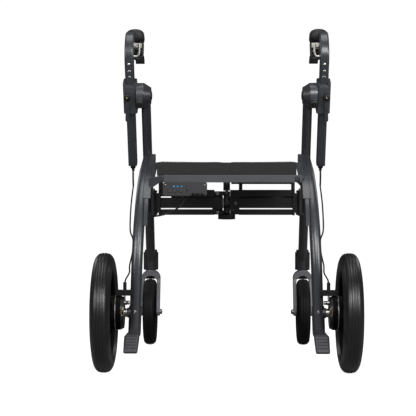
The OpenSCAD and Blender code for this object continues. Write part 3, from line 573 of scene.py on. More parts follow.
def tyre_grid(centre, r_out, r_in, width, **shape):
    """Grid (round, along): the section turned about the axle. Three grooves are smooth pits on the crown, a
    fine line marks each sidewall, and shallow cuts round the shoulders leave blocks."""
    groove_apart, groove_half, groove_deep = width * 0.15, 0.0012, 0.0016
    line_deep, blocks, block_deep, bed_half = 0.0007, 72, 0.0003, width / 2 * 0.66
    x, r, a = tyre_section(r_out - TYRE_SHY, r_in + BEAD_GAP, width, **shape)
    groove = sum(np.exp(-((x - j * groove_apart) / groove_half) ** 4) for j in (-1, 0, 1)) * (np.abs(a) < 1.2)
    line = np.exp(-((np.abs(a) - np.radians(84)) / np.radians(2.2)) ** 2)
    r = r - groove_deep * groove
    x = x - np.sign(x) * line_deep * line
    turn = angles(TYRE_STEPS)[:, None]
    shoulder = np.exp(-((np.abs(a) - np.radians(47)) / np.radians(11)) ** 4)
    radius = r[None, :] - block_deep * (np.sin(turn * blocks) > 0.72) * shoulder[None, :]
    bed = np.array([bed_half, 0, -bed_half])
    x_all = np.concatenate([np.broadcast_to(x, radius.shape), np.broadcast_to(bed, (TYRE_STEPS, 3))], axis=1)
    r_all = np.concatenate([radius, np.full((TYRE_STEPS, 3), r_in)], axis=1)
    return np.asarray(centre) + np.stack([x_all, r_all * np.cos(turn), r_all * np.sin(turn)], axis=-1)


for side, k in SIDES:
    for end, (axle, finish, shape) in TYRES.items():
        piece = surface(f"tyre_{end}_{side}", tyre_grid(flip(axle, k), **shape), FINISH[finish],
                        wrap_rows=True, wrap_cols=True)
        settle(piece, f"{side}_{end}_wheel")
        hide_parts(f"{side}_{end}_tyre")
print("tyres: 4, each a grid of", TYRE_STEPS, "by", SECTION_POINTS + 3)

# %% [markdown]
# ## Grips
# Each handle ends in a soft grip, a wide palm rest a little above and inside the bent handle end, with
# shallow ribs underneath. Its section is a superellipse whose size and middle change along it; the ends
# close to a round nose.

# %% Grips
GRIP_LENGTH = 0.116
COLLAR = [(0.0, 0.0), (0.0115, 0.0), (0.0128, 0.0012), (0.0128, 0.0052), (0.0115, 0.0066), (0.0, 0.0066)]


def rounded(v, power):
    """Sign of v times its size to a power, which squares a circle's cosine and sine towards a box."""
    return np.sign(v) * np.abs(v) ** power


def nose(v):
    """A quarter ellipse: the root of 1 - v squared, v kept between 0 and 1."""
    return np.sqrt(1 - np.clip(v, 0, 1) ** 2)


def grip_grid(k, n=160, m=96):
    """Grid (along, round). Half width and height shrink a little along the grip and follow a quarter
    ellipse at each end; ribs are a raised cosine cubed on the middle stretch, stronger underneath."""
    far_nose, near_nose, rib_pitch, rib_deep = 0.018, 0.015, 0.0056, 0.0009
    t = np.linspace(0, 1, n)[:, None]
    a = angles(m)[None, :]
    y = GRIP_LENGTH * (0.5 - 0.5 * np.cos(np.pi * t))
    near = np.clip((near_nose - y) / near_nose, 0, 1)
    close = nose((y - (GRIP_LENGTH - far_nose)) / far_nose) * np.sqrt(1 - near ** 2 * 0.82)
    way = y / GRIP_LENGTH
    wide = (0.0258 - 0.0036 * way) * close
    high = (0.0189 - 0.0010 * way - 0.0008 * np.sin(np.pi * way)) * close
    mid_x = JOINT[0] - 0.0115 + 0.0030 * way
    mid_z = GRIP_Z + 0.0070 - 0.0020 * way
    inside = np.clip((y - 0.020) / 0.008, 0, 1) * np.clip((GRIP_LENGTH - 0.026 - y) / 0.01, 0, 1)
    rib = 0.5 + 0.5 * np.cos(2 * np.pi * y / rib_pitch)
    under = 0.5 - 0.5 * np.sin(a)
    cut = rib_deep * inside * rib ** 3 * under ** 1.5
    gx = mid_x + (wide - cut) * rounded(np.cos(a), 0.85)
    gz = mid_z + (high - cut) * rounded(np.sin(a), 0.85)
    gy = np.broadcast_to(GRIP_Y + y, gx.shape)
    return flip(np.stack([gx, gy, gz], axis=-1), k)


def bar_piece(name, grid, finish, body):
    """A piece whose grid is closed round its columns, with both ends capped."""
    return settle(surface(name, grid, FINISH[finish], wrap_cols=True, caps=True), body)


def turned_piece(name, profile, place, axis, steps, finish, body, k=1.0, hollow=False):
    """A turned profile of (radius, height) that starts and ends on the axis or, where hollow, is a closed
    loop. Place and axis are the right side's; k takes them to the left."""
    grid = turned(profile, flip(place, k), flip(axis, k), steps)
    piece = surface(name, grid, FINISH[finish], wrap_rows=True, wrap_cols=hollow)
    return settle(piece, body)


for side, k in SIDES:
    skin = bar_piece(f"grip_skin_{side}", grip_grid(k), "grip_rubber", f"{side}_stem")
    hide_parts(f"{side}_grip")
    turned_piece(f"grip_collar_{side}", COLLAR, (JOINT[0], GRIP_Y - 0.0055, GRIP_Z), FORWARD, 64,
                 "black_plastic", f"{side}_stem", k)
print("grips: 2 skins and 2 collars")

# %% [markdown]
# ## Seat
# The seat is a sling of woven cloth: each half is a thin padded panel sewn round a steel rod at its outer
# edge, and a band of the same cloth hangs along the rear edge. A panel starts as a flat rounded slab and is
# blown up a little as simulated cloth, so that its faces crown and its edges pull in as a real pad's do.
# The dip of the sling and the sewn hems come after that. A UV map in metres keeps the threads of the weave
# even.

# %% Seat panels
SEAT_Z, SEAT_T = 0.526, 0.014  # top of the seat and thickness of a panel
SEAT_BACK, SEAT_DEEP = -0.0435, 0.221  # rear edge and size from there to the front
ROD_X = 0.188  # middle of the seat rod
PANEL_IN, PANEL_OUT = 0.0002, ROD_X + 0.0068


def soft_panel(k, n=120, m=150):
    """Grid (across, round): a rounded slab. Round the section, y and z follow a superellipse; across, the
    ends close by a quarter ellipse."""
    outer_round, inner_round, half_thick = 0.0075, 0.0025, 0.0055
    v = np.linspace(0, 1, n)[:, None]
    a = angles(m)[None, :]
    x = PANEL_IN + (PANEL_OUT - PANEL_IN) * v
    outer = nose((x - (PANEL_OUT - outer_round)) / outer_round)
    inner = nose((PANEL_IN + inner_round - x) / inner_round)
    y = SEAT_BACK + SEAT_DEEP / 2 + SEAT_DEEP / 2 * rounded(np.cos(a), 0.16)
    z = SEAT_Z - SEAT_T / 2 + half_thick * outer * inner * rounded(np.sin(a), 0.5)
    return flip(np.stack([np.broadcast_to(x, z.shape), np.broadcast_to(y, z.shape), z], axis=-1), k)


def vertex_places(mesh):
    """The vertices of a mesh as an array (n, 3)."""
    co = np.zeros(len(mesh.vertices) * 3)
    mesh.vertices.foreach_get("co", co)
    return co.reshape(-1, 3)


def blow_up(obj, cap=0.005, frames=20):
    """Cloth pressed out from inside: the mesh is made even and stepped through the frames with no gravity;
    no point's way is longer than the cap."""
    scene = bpy.context.scene
    even = obj.modifiers.new("even", "REMESH")
    even.mode = "VOXEL"
    even.voxel_size = 0.005
    obj.data = bpy.data.meshes.new_from_object(obj.evaluated_get(bpy.context.evaluated_depsgraph_get()))
    obj.modifiers.clear()
    press = obj.modifiers.new("press", "CLOTH")
    press.settings.use_pressure = True
    press.settings.uniform_pressure_force = 4.0
    press.settings.effector_weights.gravity = 0.0
    press.collision_settings.use_collision = False
    press.point_cache.frame_start = 1
    press.point_cache.frame_end = frames
    start = vertex_places(obj.data)
    for f in range(1, frames + 1):
        scene.frame_set(f)
    move = vertex_places(obj.evaluated_get(bpy.context.evaluated_depsgraph_get()).data) - start
    obj.modifiers.clear()
    scene.frame_set(1)
    far = np.linalg.norm(move, axis=1)[:, None]
    place = start + move * np.minimum(1.0, cap / np.maximum(far, 1e-9))
    obj.data.vertices.foreach_set("co", place.ravel())
    print(obj.name, "cloth moved up to", round(float(far.max()) * 1000, 1), "mm before the cap")


def sew(obj, k):
    """The panel sinks by a cosine across times a sine along, hem lines 20 mm inside the front and rear
    edges pull both faces together, and no point leaves the panel's outline."""
    hem_at, hem_wide, hem_deep, dip_deep = 0.09, 0.016, 0.0013, 0.0034
    place = vertex_places(obj.data)
    x, y, z = place[:, 0] * k, place[:, 1], place[:, 2]
    along = np.clip((y - SEAT_BACK) / SEAT_DEEP, 0, 1)
    hem = sum(np.exp(-((along - at) / hem_wide) ** 2) for at in (hem_at, 1 - hem_at))
    pull = hem_deep * hem * (0.75 + 0.25 * np.sin(x * 700))
    dip = dip_deep * np.cos(np.pi / 2 * np.clip(x / ROD_X, 0, 1)) * np.sin(np.pi * along) ** 0.7
    z = np.clip(z, SEAT_Z - SEAT_T, SEAT_Z + 0.0015) - pull * np.sign(z - (SEAT_Z - SEAT_T / 2)) - dip
    x = np.clip(x, PANEL_IN, PANEL_OUT)
    y = np.clip(y, SEAT_BACK, SEAT_BACK + SEAT_DEEP)
    obj.data.vertices.foreach_set("co", np.stack([x * k, y, z], axis=1).ravel())
    obj.data.polygons.foreach_set("use_smooth", np.ones(len(obj.data.polygons), dtype=bool))


# %% [markdown]
# The band is a strip of the same cloth along the rear edge. The left one reaches past the middle and lies
# behind the right one, so the two pass each other when the chair folds.

# %% Seat bands and both halves
BAND_OUT, BAND_HIGH = ROD_X - 0.0052, 0.035
BANDS = {"left": (-0.006, SEAT_BACK - 0.007, SEAT_BACK - 0.004),  # inner end, rear face, front face
         "right": (0.0004, SEAT_BACK - 0.0037, SEAT_BACK - 0.0007)}


def seat_band(k, x0, y0, y1, n=140, m=64):
    """Grid (across, round): the band on the rear edge, a rounded strip with a soft wave in Y along it."""
    end_round, drop, wave_deep = 0.0012, 0.0002, 0.0004
    half = BAND_HIGH / 2
    v = np.linspace(0, 1, n)[:, None]
    a = angles(m)[None, :]
    x = x0 + (BAND_OUT - x0) * v
    close = np.clip(np.minimum(x - x0, BAND_OUT - x) / end_round, 0, 1) ** 0.5
    z = SEAT_Z - half - drop + half * rounded(np.sin(a), 0.25)
    seam = np.exp(-((np.abs(z - (SEAT_Z - half)) - 0.0145) / 0.0012) ** 2)
    thick = (y1 - y0) / 2 * close * rounded(np.cos(a), 0.5) * (1 - 0.35 * seam)
    wave = wave_deep * np.sin(x * 70) * np.sin(np.pi * v)
    y = (y0 + y1) / 2 + thick + wave
    return flip(np.stack([np.broadcast_to(x, y.shape), y, np.broadcast_to(z, y.shape)], axis=-1), k)


def cloth_uv(obj, u_axis, v_axis):
    """A UV map called cloth, in metres: each corner's u and v are its vertex's place along two axes."""
    mesh = obj.data
    index = np.zeros(len(mesh.loops), dtype=np.int64)
    mesh.loops.foreach_get("vertex_index", index)
    uv = vertex_places(mesh)[index][:, [u_axis, v_axis]]
    mesh.uv_layers.new(name="cloth").data.foreach_set("uv", uv.astype(np.float32).ravel())


for side, k in SIDES:
    panel = surface(f"seat_panel_{side}", soft_panel(k), FINISH["seat_fabric"], wrap_cols=True, caps=True)
    blow_up(panel)
    sew(panel, k)
    cloth_uv(panel, 0, 1)
    finer = panel.modifiers.new("finer", "SUBSURF")
    finer.levels = finer.render_levels = 1
    settle(panel, f"seat_{side}")
    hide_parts(f"seat_{side}")
    band = bar_piece(f"seat_band_{side}", seat_band(k, *BANDS[side]), "seat_fabric", f"seat_{side}")
    cloth_uv(band, 0, 2)
print("seat: 2 panels and 2 bands")

# %% [markdown]
# ## Cables
# A brake cable leaves each stem's lower end, hangs in a short loop to the frame and runs down the rear leg
# to the drum. A third lead joins the control box to the left frame. Each is a round profile carried along a
# smooth curve through points in millimetres.

# %% Cables
UPPER = [(261, 152.8, 534.55), (261, 162.4, 510.55), (260, 146.4, 480.55), (257, 114.4, 460.55)]
LOWER = [(256.93, 113.69, 460.15), (256, 20.39, 410.55), (250.64, -80.07, 352), (238.81, -140.28, 330),
         (238.22, -161.92, 300), (244.1, -182.01, 268), (244.24, -194.19, 250), (252.5, -203.5, 234),
         (254.5, -204.5, 222), (254.5, -204.5, 210)]
BOX_LEAD = [(-108, -73.5, 439.8), (-110, -73.5, 428), (-124, -78.5, 410), (-144, -86.5, 398),
            (-170, -104.5, 390), (-197.73, -145.25, 388)]
UPPER_R, LOWER_R, LEAD_R = 0.0025, 0.002, 0.00225


def in_metres(points, k):
    """Points in millimetres as metres, on side k."""
    return flip(np.asarray(points, float) / 1000, k)


def cable_piece(name, points, r, k, node):
    """A round sheath along a smooth curve, standing for a construction node, which it hides."""
    path = smooth_route(in_metres(points, k), 14)
    piece = surface(name, carry(path, ring(r, 18)), FINISH["cable"], wrap_cols=True, caps=True)
    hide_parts(node)
    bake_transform(piece)


for side, k in SIDES:
    cable_piece(f"brake_cable_upper_{side}", UPPER, UPPER_R, k, f"{side}_cable_upper")
    cable_piece(f"brake_cable_lower_{side}", LOWER, LOWER_R, k, f"{side}_cable_lower")
cable_piece("control_lead", BOX_LEAD, LEAD_R, 1.0, "control_cable")
print("cables: 4 brake cable lengths and 1 lead")

# %% [markdown]
# ## Small hardware
# Screws, nuts, rings and marks make the scale believable. Screws and rings are turned profiles; a hexagon
# nut is the same with six steps round and flat faces.

# %% Screws, nuts and rings
def screw(name, place, axis, r, h, finish, body, k=1.0, socket=True):
    """A domed screw head, with a small pit in the middle for the driver where it has a socket."""
    profile = [(0.0, 0.0), (r, 0.0), (r, 0.45 * h), (0.94 * r, 0.72 * h), (0.75 * r, 0.92 * h), (0.5 * r, h)]
    if socket:
        profile += [(0.42 * r, h), (0.36 * r, 0.45 * h), (0.0, 0.4 * h)]
    else:
        profile += [(0.25 * r, 1.02 * h), (0.0, 1.03 * h)]
    return turned_piece(name, profile, place, axis, 36, finish, body, k)


def nut(name, place, axis, r, h, finish, body, k=1.0):
    """A hexagon nut: six steps round a profile with a chamfer, faces flat, and a domed end inside."""
    profile = [(0.0, 0.0), (r, 0.0), (r, 0.8 * h), (0.86 * r, h), (0.55 * r, h), (0.45 * r, 1.25 * h),
               (0.0, 1.35 * h)]
    grid = turned(profile, flip(place, k), flip(axis, k), 6)
    faces = grid_faces(6, len(profile), True, False).tolist()
    return settle(mesh_piece(name, grid, faces, FINISH[finish], flat=True), body)


def hoop(r_in, r_out, h):
    """A closed square section for a ring of height h."""
    return [(r_in, 0.0), (r_out, 0.0), (r_out, h), (r_in, h)]


# %% [markdown]
# The handle end: a knob on the clamp lever and a ridged lock knob beside it, a cap on the tilting disc, a
# bright blade and its cover on the brake lever, and a cable adjuster at the stem's foot. The stem has three
# pale height marks, raised a tenth of a millimetre: two chevrons and, above them, a half disc.

# %% Handle hardware
STEM_BACK, MARK_SUNK, MARK_OUT = -0.016, 0.0004, 0.00012  # stem's rear face, a mark's depth and height on it
LEVER_KNOB = [(0.0, -0.001), (0.0088, -0.001), (0.0096, 0.0004), (0.0096, 0.0048), (0.0086, 0.0062),
              (0.0, 0.0064)]
SLEEVE = [(0.0, 0.0), (0.0072, 0.0), (0.0072, 0.0105), (0.0060, 0.0128), (0.0045, 0.0134), (0.0, 0.0134)]
LOCK_RIDGES = [(0.0089 + 0.0006 * (j % 2), 0.0145 + 0.0009 * j) for j in range(9)]
LOCK_KNOB = [(0.0, 0.0145)] + LOCK_RIDGES + [(0.0065, 0.0236), (0.0, 0.0238)]
BLADE = [(0.2355, 0.8435), (0.2358, 0.829), (0.2370, 0.8178), (0.2405, 0.8118), (0.2455, 0.8105),
         (0.2500, 0.8105)]
COVER = [(0.2262, 0.8470), (0.2266, 0.828), (0.2276, 0.8145), (0.2312, 0.8068), (0.2390, 0.8048),
         (0.2500, 0.8048)]
FLAT = np.array([[1.0, 0.45], [0.8, 0.7], [-0.8, 0.7], [-1.0, 0.45],
                 [-1.0, -0.45], [-0.8, -0.7], [0.8, -0.7], [1.0, -0.45]])


def chevron(place, size):
    """A V-shaped strip on a stem's rear face: its ends hang by half its size, and it is 0.44 of that
    wide."""
    u = np.linspace(-1, 1, 9)[:, None]
    w = np.array([-1.0, 1.0, 1.0, -1.0])[None, :] * 0.22 * size
    out = np.array([-MARK_SUNK, -MARK_SUNK, MARK_OUT, MARK_OUT])[None, :]
    drop = -np.abs(u) * 0.5 * size + w
    return (np.asarray(place) + (u * 0.62 * size)[..., None] * SIDEWAYS + drop[..., None] * UP
            - (out + 0 * u)[..., None] * AHEAD)


def half_disc(place, wide, high):
    """Half an ellipse on a stem's rear face, flat side down: its outline below and above the face."""
    a = np.linspace(0, np.pi, 19)[:, None]
    rim = place + wide * np.cos(a) * SIDEWAYS + high * np.sin(a) * UP
    return np.stack([rim + MARK_SUNK * AHEAD, rim - MARK_OUT * AHEAD])


def lever_strip(route, shift, wide, thick):
    """A flat bar along a smooth curve in an X-Z plane, shift from the grip's start: the section's first
    value times wide goes along Y and its second times thick goes across the curve."""
    bend = smooth_route([(x, GRIP_Y + shift, z) for x, z in route], 8)
    across = np.cross(unit(np.gradient(bend, axis=0)), FORWARD)[:, None, :]
    return bend[:, None, :] + thick * FLAT[None, :, 1:] * across + wide * FLAT[None, :, :1] * FORWARD


for side, k in SIDES:
    stem, clamp, clamp_lever = f"{side}_stem", f"{side}_clamp", f"{side}_clamp_lever"
    marks = [chevron(flip(on_stem(0, STEM_BACK, up), k), 0.0075) for up in (0.0777, 0.0611)]
    marks.append(flip(half_disc(on_stem(0, STEM_BACK, 0.0925), 0.0046, 0.0062), k))
    for i, grid in enumerate(marks):
        bar_piece(f"height_mark_{side}_{i + 1}", grid, "silver", stem)
    turned_piece(f"clamp_knob_{side}", LEVER_KNOB, on_stem(0.007, -0.0309, 0.007), -AHEAD, 48,
                 "black_plastic", clamp_lever, k)
    screw(f"clamp_knob_pin_{side}", on_stem(0.007, -0.0372, 0.007), -AHEAD, 0.0026, 0.0012, "brass",
          clamp_lever, k)
    screw(f"joint_cap_{side}", (0.2051, JOINT[1], JOINT[2]), -SIDEWAYS, 0.012, 0.003, "black_plastic",
          f"{side}_frame", k)
    turned_piece(f"adjuster_{side}", SLEEVE, on_stem(0, 0, -0.2028), -UP, 40, "black_plastic", stem, k)
    turned_piece(f"adjuster_tip_{side}", hoop(0.0026, 0.0041, 0.0072), on_stem(0, 0, -0.216), -UP, 36,
                 "brass", stem, k, hollow=True)
    turned_piece(f"lock_knob_{side}", LOCK_KNOB, on_stem(-0.026, -0.0305, -0.004), -AHEAD, 40,
                 "black_plastic", clamp, k)
    for name, grid, finish in (("blade", lever_strip(BLADE, -0.0269, 0.0035, 0.0044), "silver"),
                               ("cover", lever_strip(COVER, -0.0186, 0.0073, 0.0036), "black_plastic")):
        bar_piece(f"lever_{name}_{side}", flip(grid, k), finish, f"{side}_brake_lever")
print("handle hardware: 11 pieces on each side")

# %% [markdown]
# The rear wheel: a ring and an oval on the brake drum, a hub cap outside, a barrel for the cable's end, a
# coil spring at the brake arm and a bolt through the boot. The front wheel: a nut and a bolt head on its
# axle.

# %% Wheel hardware
BARREL = [(0.0, 0.0), (0.0046, 0.0), (0.0052, 0.0007), (0.0052, 0.0068), (0.0046, 0.0075), (0.0, 0.0075)]
SPRING = np.array([DRUM_IN - 0.010, -0.2045, 0.1845])  # its lower end
SPRING_R, SPRING_HIGH, SPRING_TURNS = 0.0034, 0.0092, 4.5
CASTER_HALF = np.array([0.0316, 0.0, 0.0])  # from a caster's middle to its axle's ends


def oval_ring(centre, wide, high, r):
    """A round wire along an ellipse in an X-Z plane: the wire's circle spans Y and the ellipse's normal."""
    a = angles(60)
    oval = centre + np.stack([wide * np.cos(a), 0 * a, high * np.sin(a)], axis=1)
    out = unit(np.stack([np.cos(a) / wide, 0 * a, np.sin(a) / high], axis=1))
    wire = ring(r, 10)
    return oval[:, None, :] + wire[None, :, :1] * out[:, None, :] + wire[None, :, 1:] * FORWARD


def coil_path(turn):
    """The spring's wire: a circle of SPRING_R that climbs SPRING_HIGH while turn goes from 0 to 1."""
    a = turn * (2 * SPRING_TURNS) * np.pi
    return SPRING + np.stack([SPRING_R * np.cos(a), SPRING_R * np.sin(a), SPRING_HIGH * turn], axis=1)


for side, k in SIDES:
    wheel, fixed, arm, caster = (f"{side}_{name}" for name in ("rear_wheel", "frame", "brake_arm", "caster"))
    turned_piece(f"drum_ring_{side}", hoop(0.0425, 0.0448, 0.0022), (DRUM_IN + 0.0115, *REAR_AXLE[1:]),
                 SIDEWAYS, 72, "steel", wheel, k, hollow=True)
    screw(f"hub_cap_{side}", (0.3264, *REAR_AXLE[1:]), SIDEWAYS, 0.0165, 0.0035, "black_plastic", wheel, k,
          socket=False)
    turned_piece(f"cable_barrel_{side}", BARREL, (DRUM_IN - 0.0217, -0.2045, 0.176), SIDEWAYS, 40, "steel",
                 arm, k)
    oval = oval_ring(np.array([DRUM_IN - 0.0062, -0.2396, 0.157]), 0.0034, 0.0098, 0.0010)
    piece = surface(f"drum_oval_{side}", flip(oval, k), FINISH["brass"], wrap_rows=True, wrap_cols=True)
    settle(piece, fixed)
    screw(f"boot_bolt_{side}", (0.2292, -0.2131, 0.1535), -FORWARD, 0.0042, 0.0024, "steel", fixed, k)
    coil = carry(flip(coil_path(np.linspace(0, 1, 90)), k), ring(0.0005, 8))
    piece = surface(f"brake_spring_{side}", coil, FINISH["steel"], wrap_cols=True, caps=True)
    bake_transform(piece)
    nut(f"axle_nut_{side}", FRONT_AXLE + CASTER_HALF, SIDEWAYS, 0.0062, 0.003, "black_metal", caster, k)
    screw(f"axle_bolt_{side}", FRONT_AXLE - CASTER_HALF, -SIDEWAYS, 0.0066, 0.003, "black_metal", caster, k)
print("wheel hardware: 8 pieces on each side")

# %% [markdown]
# The folding gate: bolt heads, webs between its rails, sleeves and a head on the middle barrel, and brass
# tips on its hinge pins. The sleeves belong to the gate whose knuckle they cover.

# %% Gate hardware
GATE_Y = float(JOINT[1]) + 0.091
GATE_BOLTS = {"left": (0.3848, 0.438), "right": (0.4113,)}
WEBS = (  # name, side, inner and outer end, bottom and top, rear and front face from the gate's middle
    ("upper", "left", (0.0106, 0.155), (0.4255, 0.4326), (-0.006, -0.001)),
    ("lower", "left", (0.0106, 0.040), (0.3900, 0.3976), (-0.006, -0.001)),
    ("upper", "right", (0.035, 0.187), (0.4255, 0.4300), (-0.003, 0.003)),
)
SLEEVES = ((0.3974, 0.4256, "right_gate"), (0.3794, 0.3902, "left_gate"), (0.4324, 0.4436, "left_gate"))
BARREL_HEAD = [(0.0, 0.0), (0.0095, 0.0), (0.0095, 0.0072), (0.0085, 0.0082), (0.0, 0.0084)]
for side, k in SIDES:
    for i, z in enumerate(GATE_BOLTS[side]):
        screw(f"gate_bolt_{side}_{i + 1}", (0.025, GATE_Y - 0.005, z), -FORWARD, 0.0048, 0.0026, "steel",
              f"{side}_gate", k)
    screw(f"hinge_tip_{side}", (0.204, GATE_Y, 0.448), RISE, 0.0038, 0.004, "brass", f"{side}_frame", k,
          socket=False)
for name, side, (x0, x1), (z0, z1), (y0, y1) in WEBS:
    section = np.array([[GATE_Y + y0, z0], [GATE_Y + y1, z0], [GATE_Y + y1, z1], [GATE_Y + y0, z1]])
    grid = np.stack([np.insert(section, 0, x, axis=1) for x in (x0, (x0 + x1) / 2, x1)])
    bar_piece(f"gate_web_{name}_{side}", flip(grid, dict(SIDES)[side]), "black_metal", f"{side}_gate")
for i, (z0, z1, body) in enumerate(SLEEVES):
    turned_piece(f"barrel_sleeve_{i + 1}", hoop(0.0088, 0.0098, z1 - z0), (0.0, GATE_Y, z0), RISE, 72,
                 "frame_dark", body, hollow=True)
turned_piece("barrel_head", BARREL_HEAD, (0.0, GATE_Y, 0.4622), RISE, 48, "frame_dark", "left_gate")
print("gate hardware: 3 bolts, 2 tips, 3 webs, 3 sleeves and a head")

# %% [markdown]
# The control box: three blue status lamps that glow a little, two screws, three arched sockets and a ribbed
# rubber boot where the lead leaves it.

# %% Box hardware
BOX_FACE, ARCH_Y = -0.0924, -0.0926
lens_blue = moulded("blue lamp lens", lin(40, 108, 149), rough=0.22, bump_by=0.02, wear=0.0, dust=0.0)
set_inputs(lens_blue.node_tree.nodes["Principled BSDF"].inputs, Emission_Color=(*lin(40, 120, 170), 1.0),
           Emission_Strength=0.6)
FINISH["lamp_blue"] = lens_blue
BOOT_RIBS = [(0.0052 - 0.00022 * j - 0.0007 * (j % 2), 0.0008 + 0.0013 * j) for j in range(10)]
LEAD_BOOT = [(0.0, 0.0), (0.0058, 0.0)] + BOOT_RIBS + [(0.0, 0.0135)]
for i, x in enumerate((-0.1365, -0.1266, -0.1164)):
    lens = screw(f"status_lamp_{i + 1}", (x, BOX_FACE, 0.464), -FORWARD, 0.0022, 0.0009, "lamp_blue",
                 "lock_bar", socket=False)
for i, x in enumerate((-0.159, -0.057)):
    screw(f"box_screw_{i + 1}", (x, BOX_FACE, 0.468), -FORWARD, 0.0022, 0.0008, "steel", "lock_bar")
for i, x in enumerate((-0.0862, -0.0750, -0.0638)):
    a = np.linspace(0, np.pi, 25)
    arch = np.stack([x + 0.0044 * np.cos(a), np.full(25, ARCH_Y), 0.4412 + 0.0056 * np.sin(a)], axis=1)
    bar_piece(f"socket_arch_{i + 1}", carry(arch, ring(0.0013, 12)), "black_plastic", "lock_bar")
turned_piece("lead_boot", LEAD_BOOT, (-0.108, -0.0735, 0.4405), -RISE, 32, "black_plastic", "lock_bar")
print("box hardware: 3 lamps, 2 screws, 3 sockets and a boot")

# %% [markdown]
# ## Stitching
# Two rows of lockstitch hold the band of each seat half. A stitch is a tiny spindle, and a band's stitches
# are one mesh: the same spindle added to every stitch's place at once.

# %% Stitches
STITCH_LONG, STITCH_R, STITCH_PITCH = 0.0032, 0.00035, 0.0045
STITCH_Y = {"left": SEAT_BACK - 0.0070, "right": SEAT_BACK - 0.00345}
STITCH_Z = (SEAT_Z - 0.0032, SEAT_Z - 0.0320)


def stitches(name, places, body, rows=6, cols=8):
    """One mesh of many spindles along X: the radius follows a half ellipse along each stitch."""
    t = np.linspace(0, 1, rows)
    a = angles(cols)
    x = unit(np.cross(SIDEWAYS, [0.2, 0.3, 0.93]))
    y = np.cross(SIDEWAYS, x)
    rad = STITCH_R * np.sqrt(np.clip(1 - (2 * t - 1) ** 2, 0.02, 1))
    spindle = (((t - 0.5) * STITCH_LONG)[:, None, None] * SIDEWAYS
               + rad[:, None, None] * (np.cos(a)[:, None] * x + np.sin(a)[:, None] * y))
    points = places[:, None, None, :] + spindle[None]
    first = np.arange(len(places)) * rows * cols
    faces = (grid_faces(rows, cols, False, True)[None] + first[:, None, None]).reshape(-1, 4).tolist()
    for end in (0, (rows - 1) * cols):
        faces += (first[:, None] + end + np.arange(cols)).tolist()
    settle(mesh_piece(name, points, faces, FINISH["cable"]), body)


for side, k in SIDES:
    x = np.arange(0.010, 0.178, STITCH_PITCH)
    row = np.stack([x * k, np.full(len(x), STITCH_Y[side]), np.zeros(len(x))], axis=1)
    stitches(f"band_stitches_{side}", np.vstack([row + [0, 0, z] for z in STITCH_Z]), f"seat_{side}")
print("stitches:", 2 * len(x), "on each band")

# %% [markdown]
# ## Camera and light
# The photograph looks straight along +Y from seat height with a long lens, slightly off centre, on a bright
# white ground.

# %% Camera
CAMERA_AT = (0.0, -3.2475, 0.545)
YAW, PITCH = math.radians(0.875), math.radians(2.48)


def turn_to(place, direction):
    """The matrix of a camera or lamp at a place that looks along a direction."""
    return Matrix.Translation(place) @ direction.to_track_quat("-Z", "Y").to_matrix().to_4x4()


cam_data = bpy.data.cameras.new("camera")
cam_data.lens = 105.75
cam_data.sensor_width = 36.0
cam = bpy.data.objects.new("camera", cam_data)
bpy.context.scene.collection.objects.link(cam)
look = Vector((-math.sin(YAW) * math.cos(PITCH), math.cos(YAW) * math.cos(PITCH), -math.sin(PITCH)))
cam.matrix_world = turn_to(CAMERA_AT, look)
bpy.context.scene.camera = cam
print("camera at", CAMERA_AT)

# %% [markdown]
# The ground is a white floor that curves up behind the object. The camera sees it glow, while all other
# rays meet a dull grey, so that little light comes back from below and the blacks stay deep.

# %% Floor
FLOOR_REAR, FLOOR_FRONT, CURVE_DEEP, CURVE_HIGH, HALF_WIDE = -8, 6, 3, 6, 12.0
FLAT_SHARE, FLOOR_DROP = 0.7, -0.0005  # the level floor's share of the rows, and its height
floor_mat, floor_tree, floor_in = start_material("pale floor")
set_inputs(floor_in, Base_Color=(0.3, 0.3, 0.3, 1.0), Roughness=0.9, Specular_IOR_Level=0.1,
           Emission_Color=(1.0, 1.0, 1.0, 1.0), Emission_Strength=0.97)
dull = put(floor_tree, "ShaderNodeBsdfDiffuse", Color=(0.22, 0.22, 0.22, 1.0))
both = put(floor_tree, "ShaderNodeMixShader")
floor_tree.links.new(put(floor_tree, "ShaderNodeLightPath").outputs["Is Camera Ray"], both.inputs[0])
floor_tree.links.new(dull.outputs[0], both.inputs[1])
floor_tree.links.new(floor_tree.nodes["Principled BSDF"].outputs[0], both.inputs[2])
floor_tree.links.new(both.outputs[0], floor_tree.nodes["Material Output"].inputs["Surface"])
t = np.linspace(0, 1, 25)
bend = np.pi / 2 * (t - FLAT_SHARE) / (1 - FLAT_SHARE)
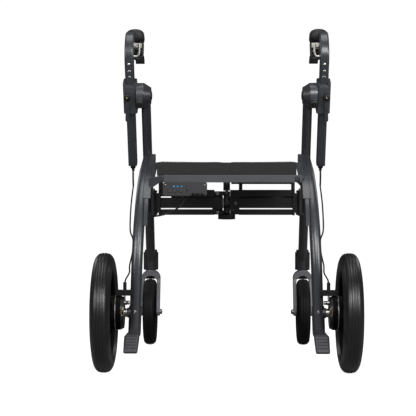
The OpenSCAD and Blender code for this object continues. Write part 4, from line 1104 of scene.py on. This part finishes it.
level_y = FLOOR_REAR + t * (FLOOR_FRONT - FLOOR_REAR) / FLAT_SHARE
sweep_y = np.where(t < FLAT_SHARE, level_y, FLOOR_FRONT + CURVE_DEEP * np.sin(bend))
sweep_z = np.where(t < FLAT_SHARE, 0, CURVE_HIGH - CURVE_HIGH * np.cos(bend))
sweep = np.stack([np.zeros(25), sweep_y, sweep_z], axis=1)
sides = [sweep + [x, 0, FLOOR_DROP] for x in (-HALF_WIDE, HALF_WIDE)]
backdrop = surface("backdrop", np.stack(sides, axis=1), floor_mat)
print("floor sweep of 25 by 2 points")

# %% [markdown]
# The light: a white world that the camera sees at full strength and the object only faintly, and six soft
# square lamps round the object, the strongest ones on the camera's side.

# %% World and lamps
SEEN, AMBIENT = 0.9, 0.1  # what the camera sees of the world above the ambient light it gives
MIDDLE = (0, 0, 0.45)
LAMPS = (  # name, place, target, size, power
    ("key", (-2.3, -2.3, 1.8), MIDDLE, 1.2, 48),
    ("fill", (2.4, -2.3, 1.8), MIDDLE, 1.2, 72),
    ("front", (0.4, -2.9, 2.3), MIDDLE, 1.2, 58),
    ("top", (0.0, 0.2, 3.4), (0, 0, 0.4), 1.8, 28),
    ("back_left", (-2.0, 2.2, 1.6), MIDDLE, 1.0, 6),
    ("back_right", (2.0, 2.2, 1.6), MIDDLE, 1.0, 6),
)
world = bpy.data.worlds.new("studio")
bpy.context.scene.world = world
world.use_nodes = True
sky = world.node_tree
seen = put(sky, "ShaderNodeLightPath").outputs["Is Camera Ray"]
sky.links.new(plus(sky, times(sky, seen, SEEN), AMBIENT), sky.nodes["Background"].inputs["Strength"])
sky.nodes["Background"].inputs["Color"].default_value = (1.0, 1.0, 1.0, 1.0)
for name, place, target, size, power in LAMPS:
    data = bpy.data.lights.new(name, "AREA")
    data.energy = power
    data.size = size
    lamp = bpy.data.objects.new(name, data)
    bpy.context.scene.collection.objects.link(lamp)
    lamp.matrix_world = turn_to(place, Vector(target) - Vector(place))
bpy.context.scene.view_settings.view_transform = "Standard"
print("lamps:", len(LAMPS))
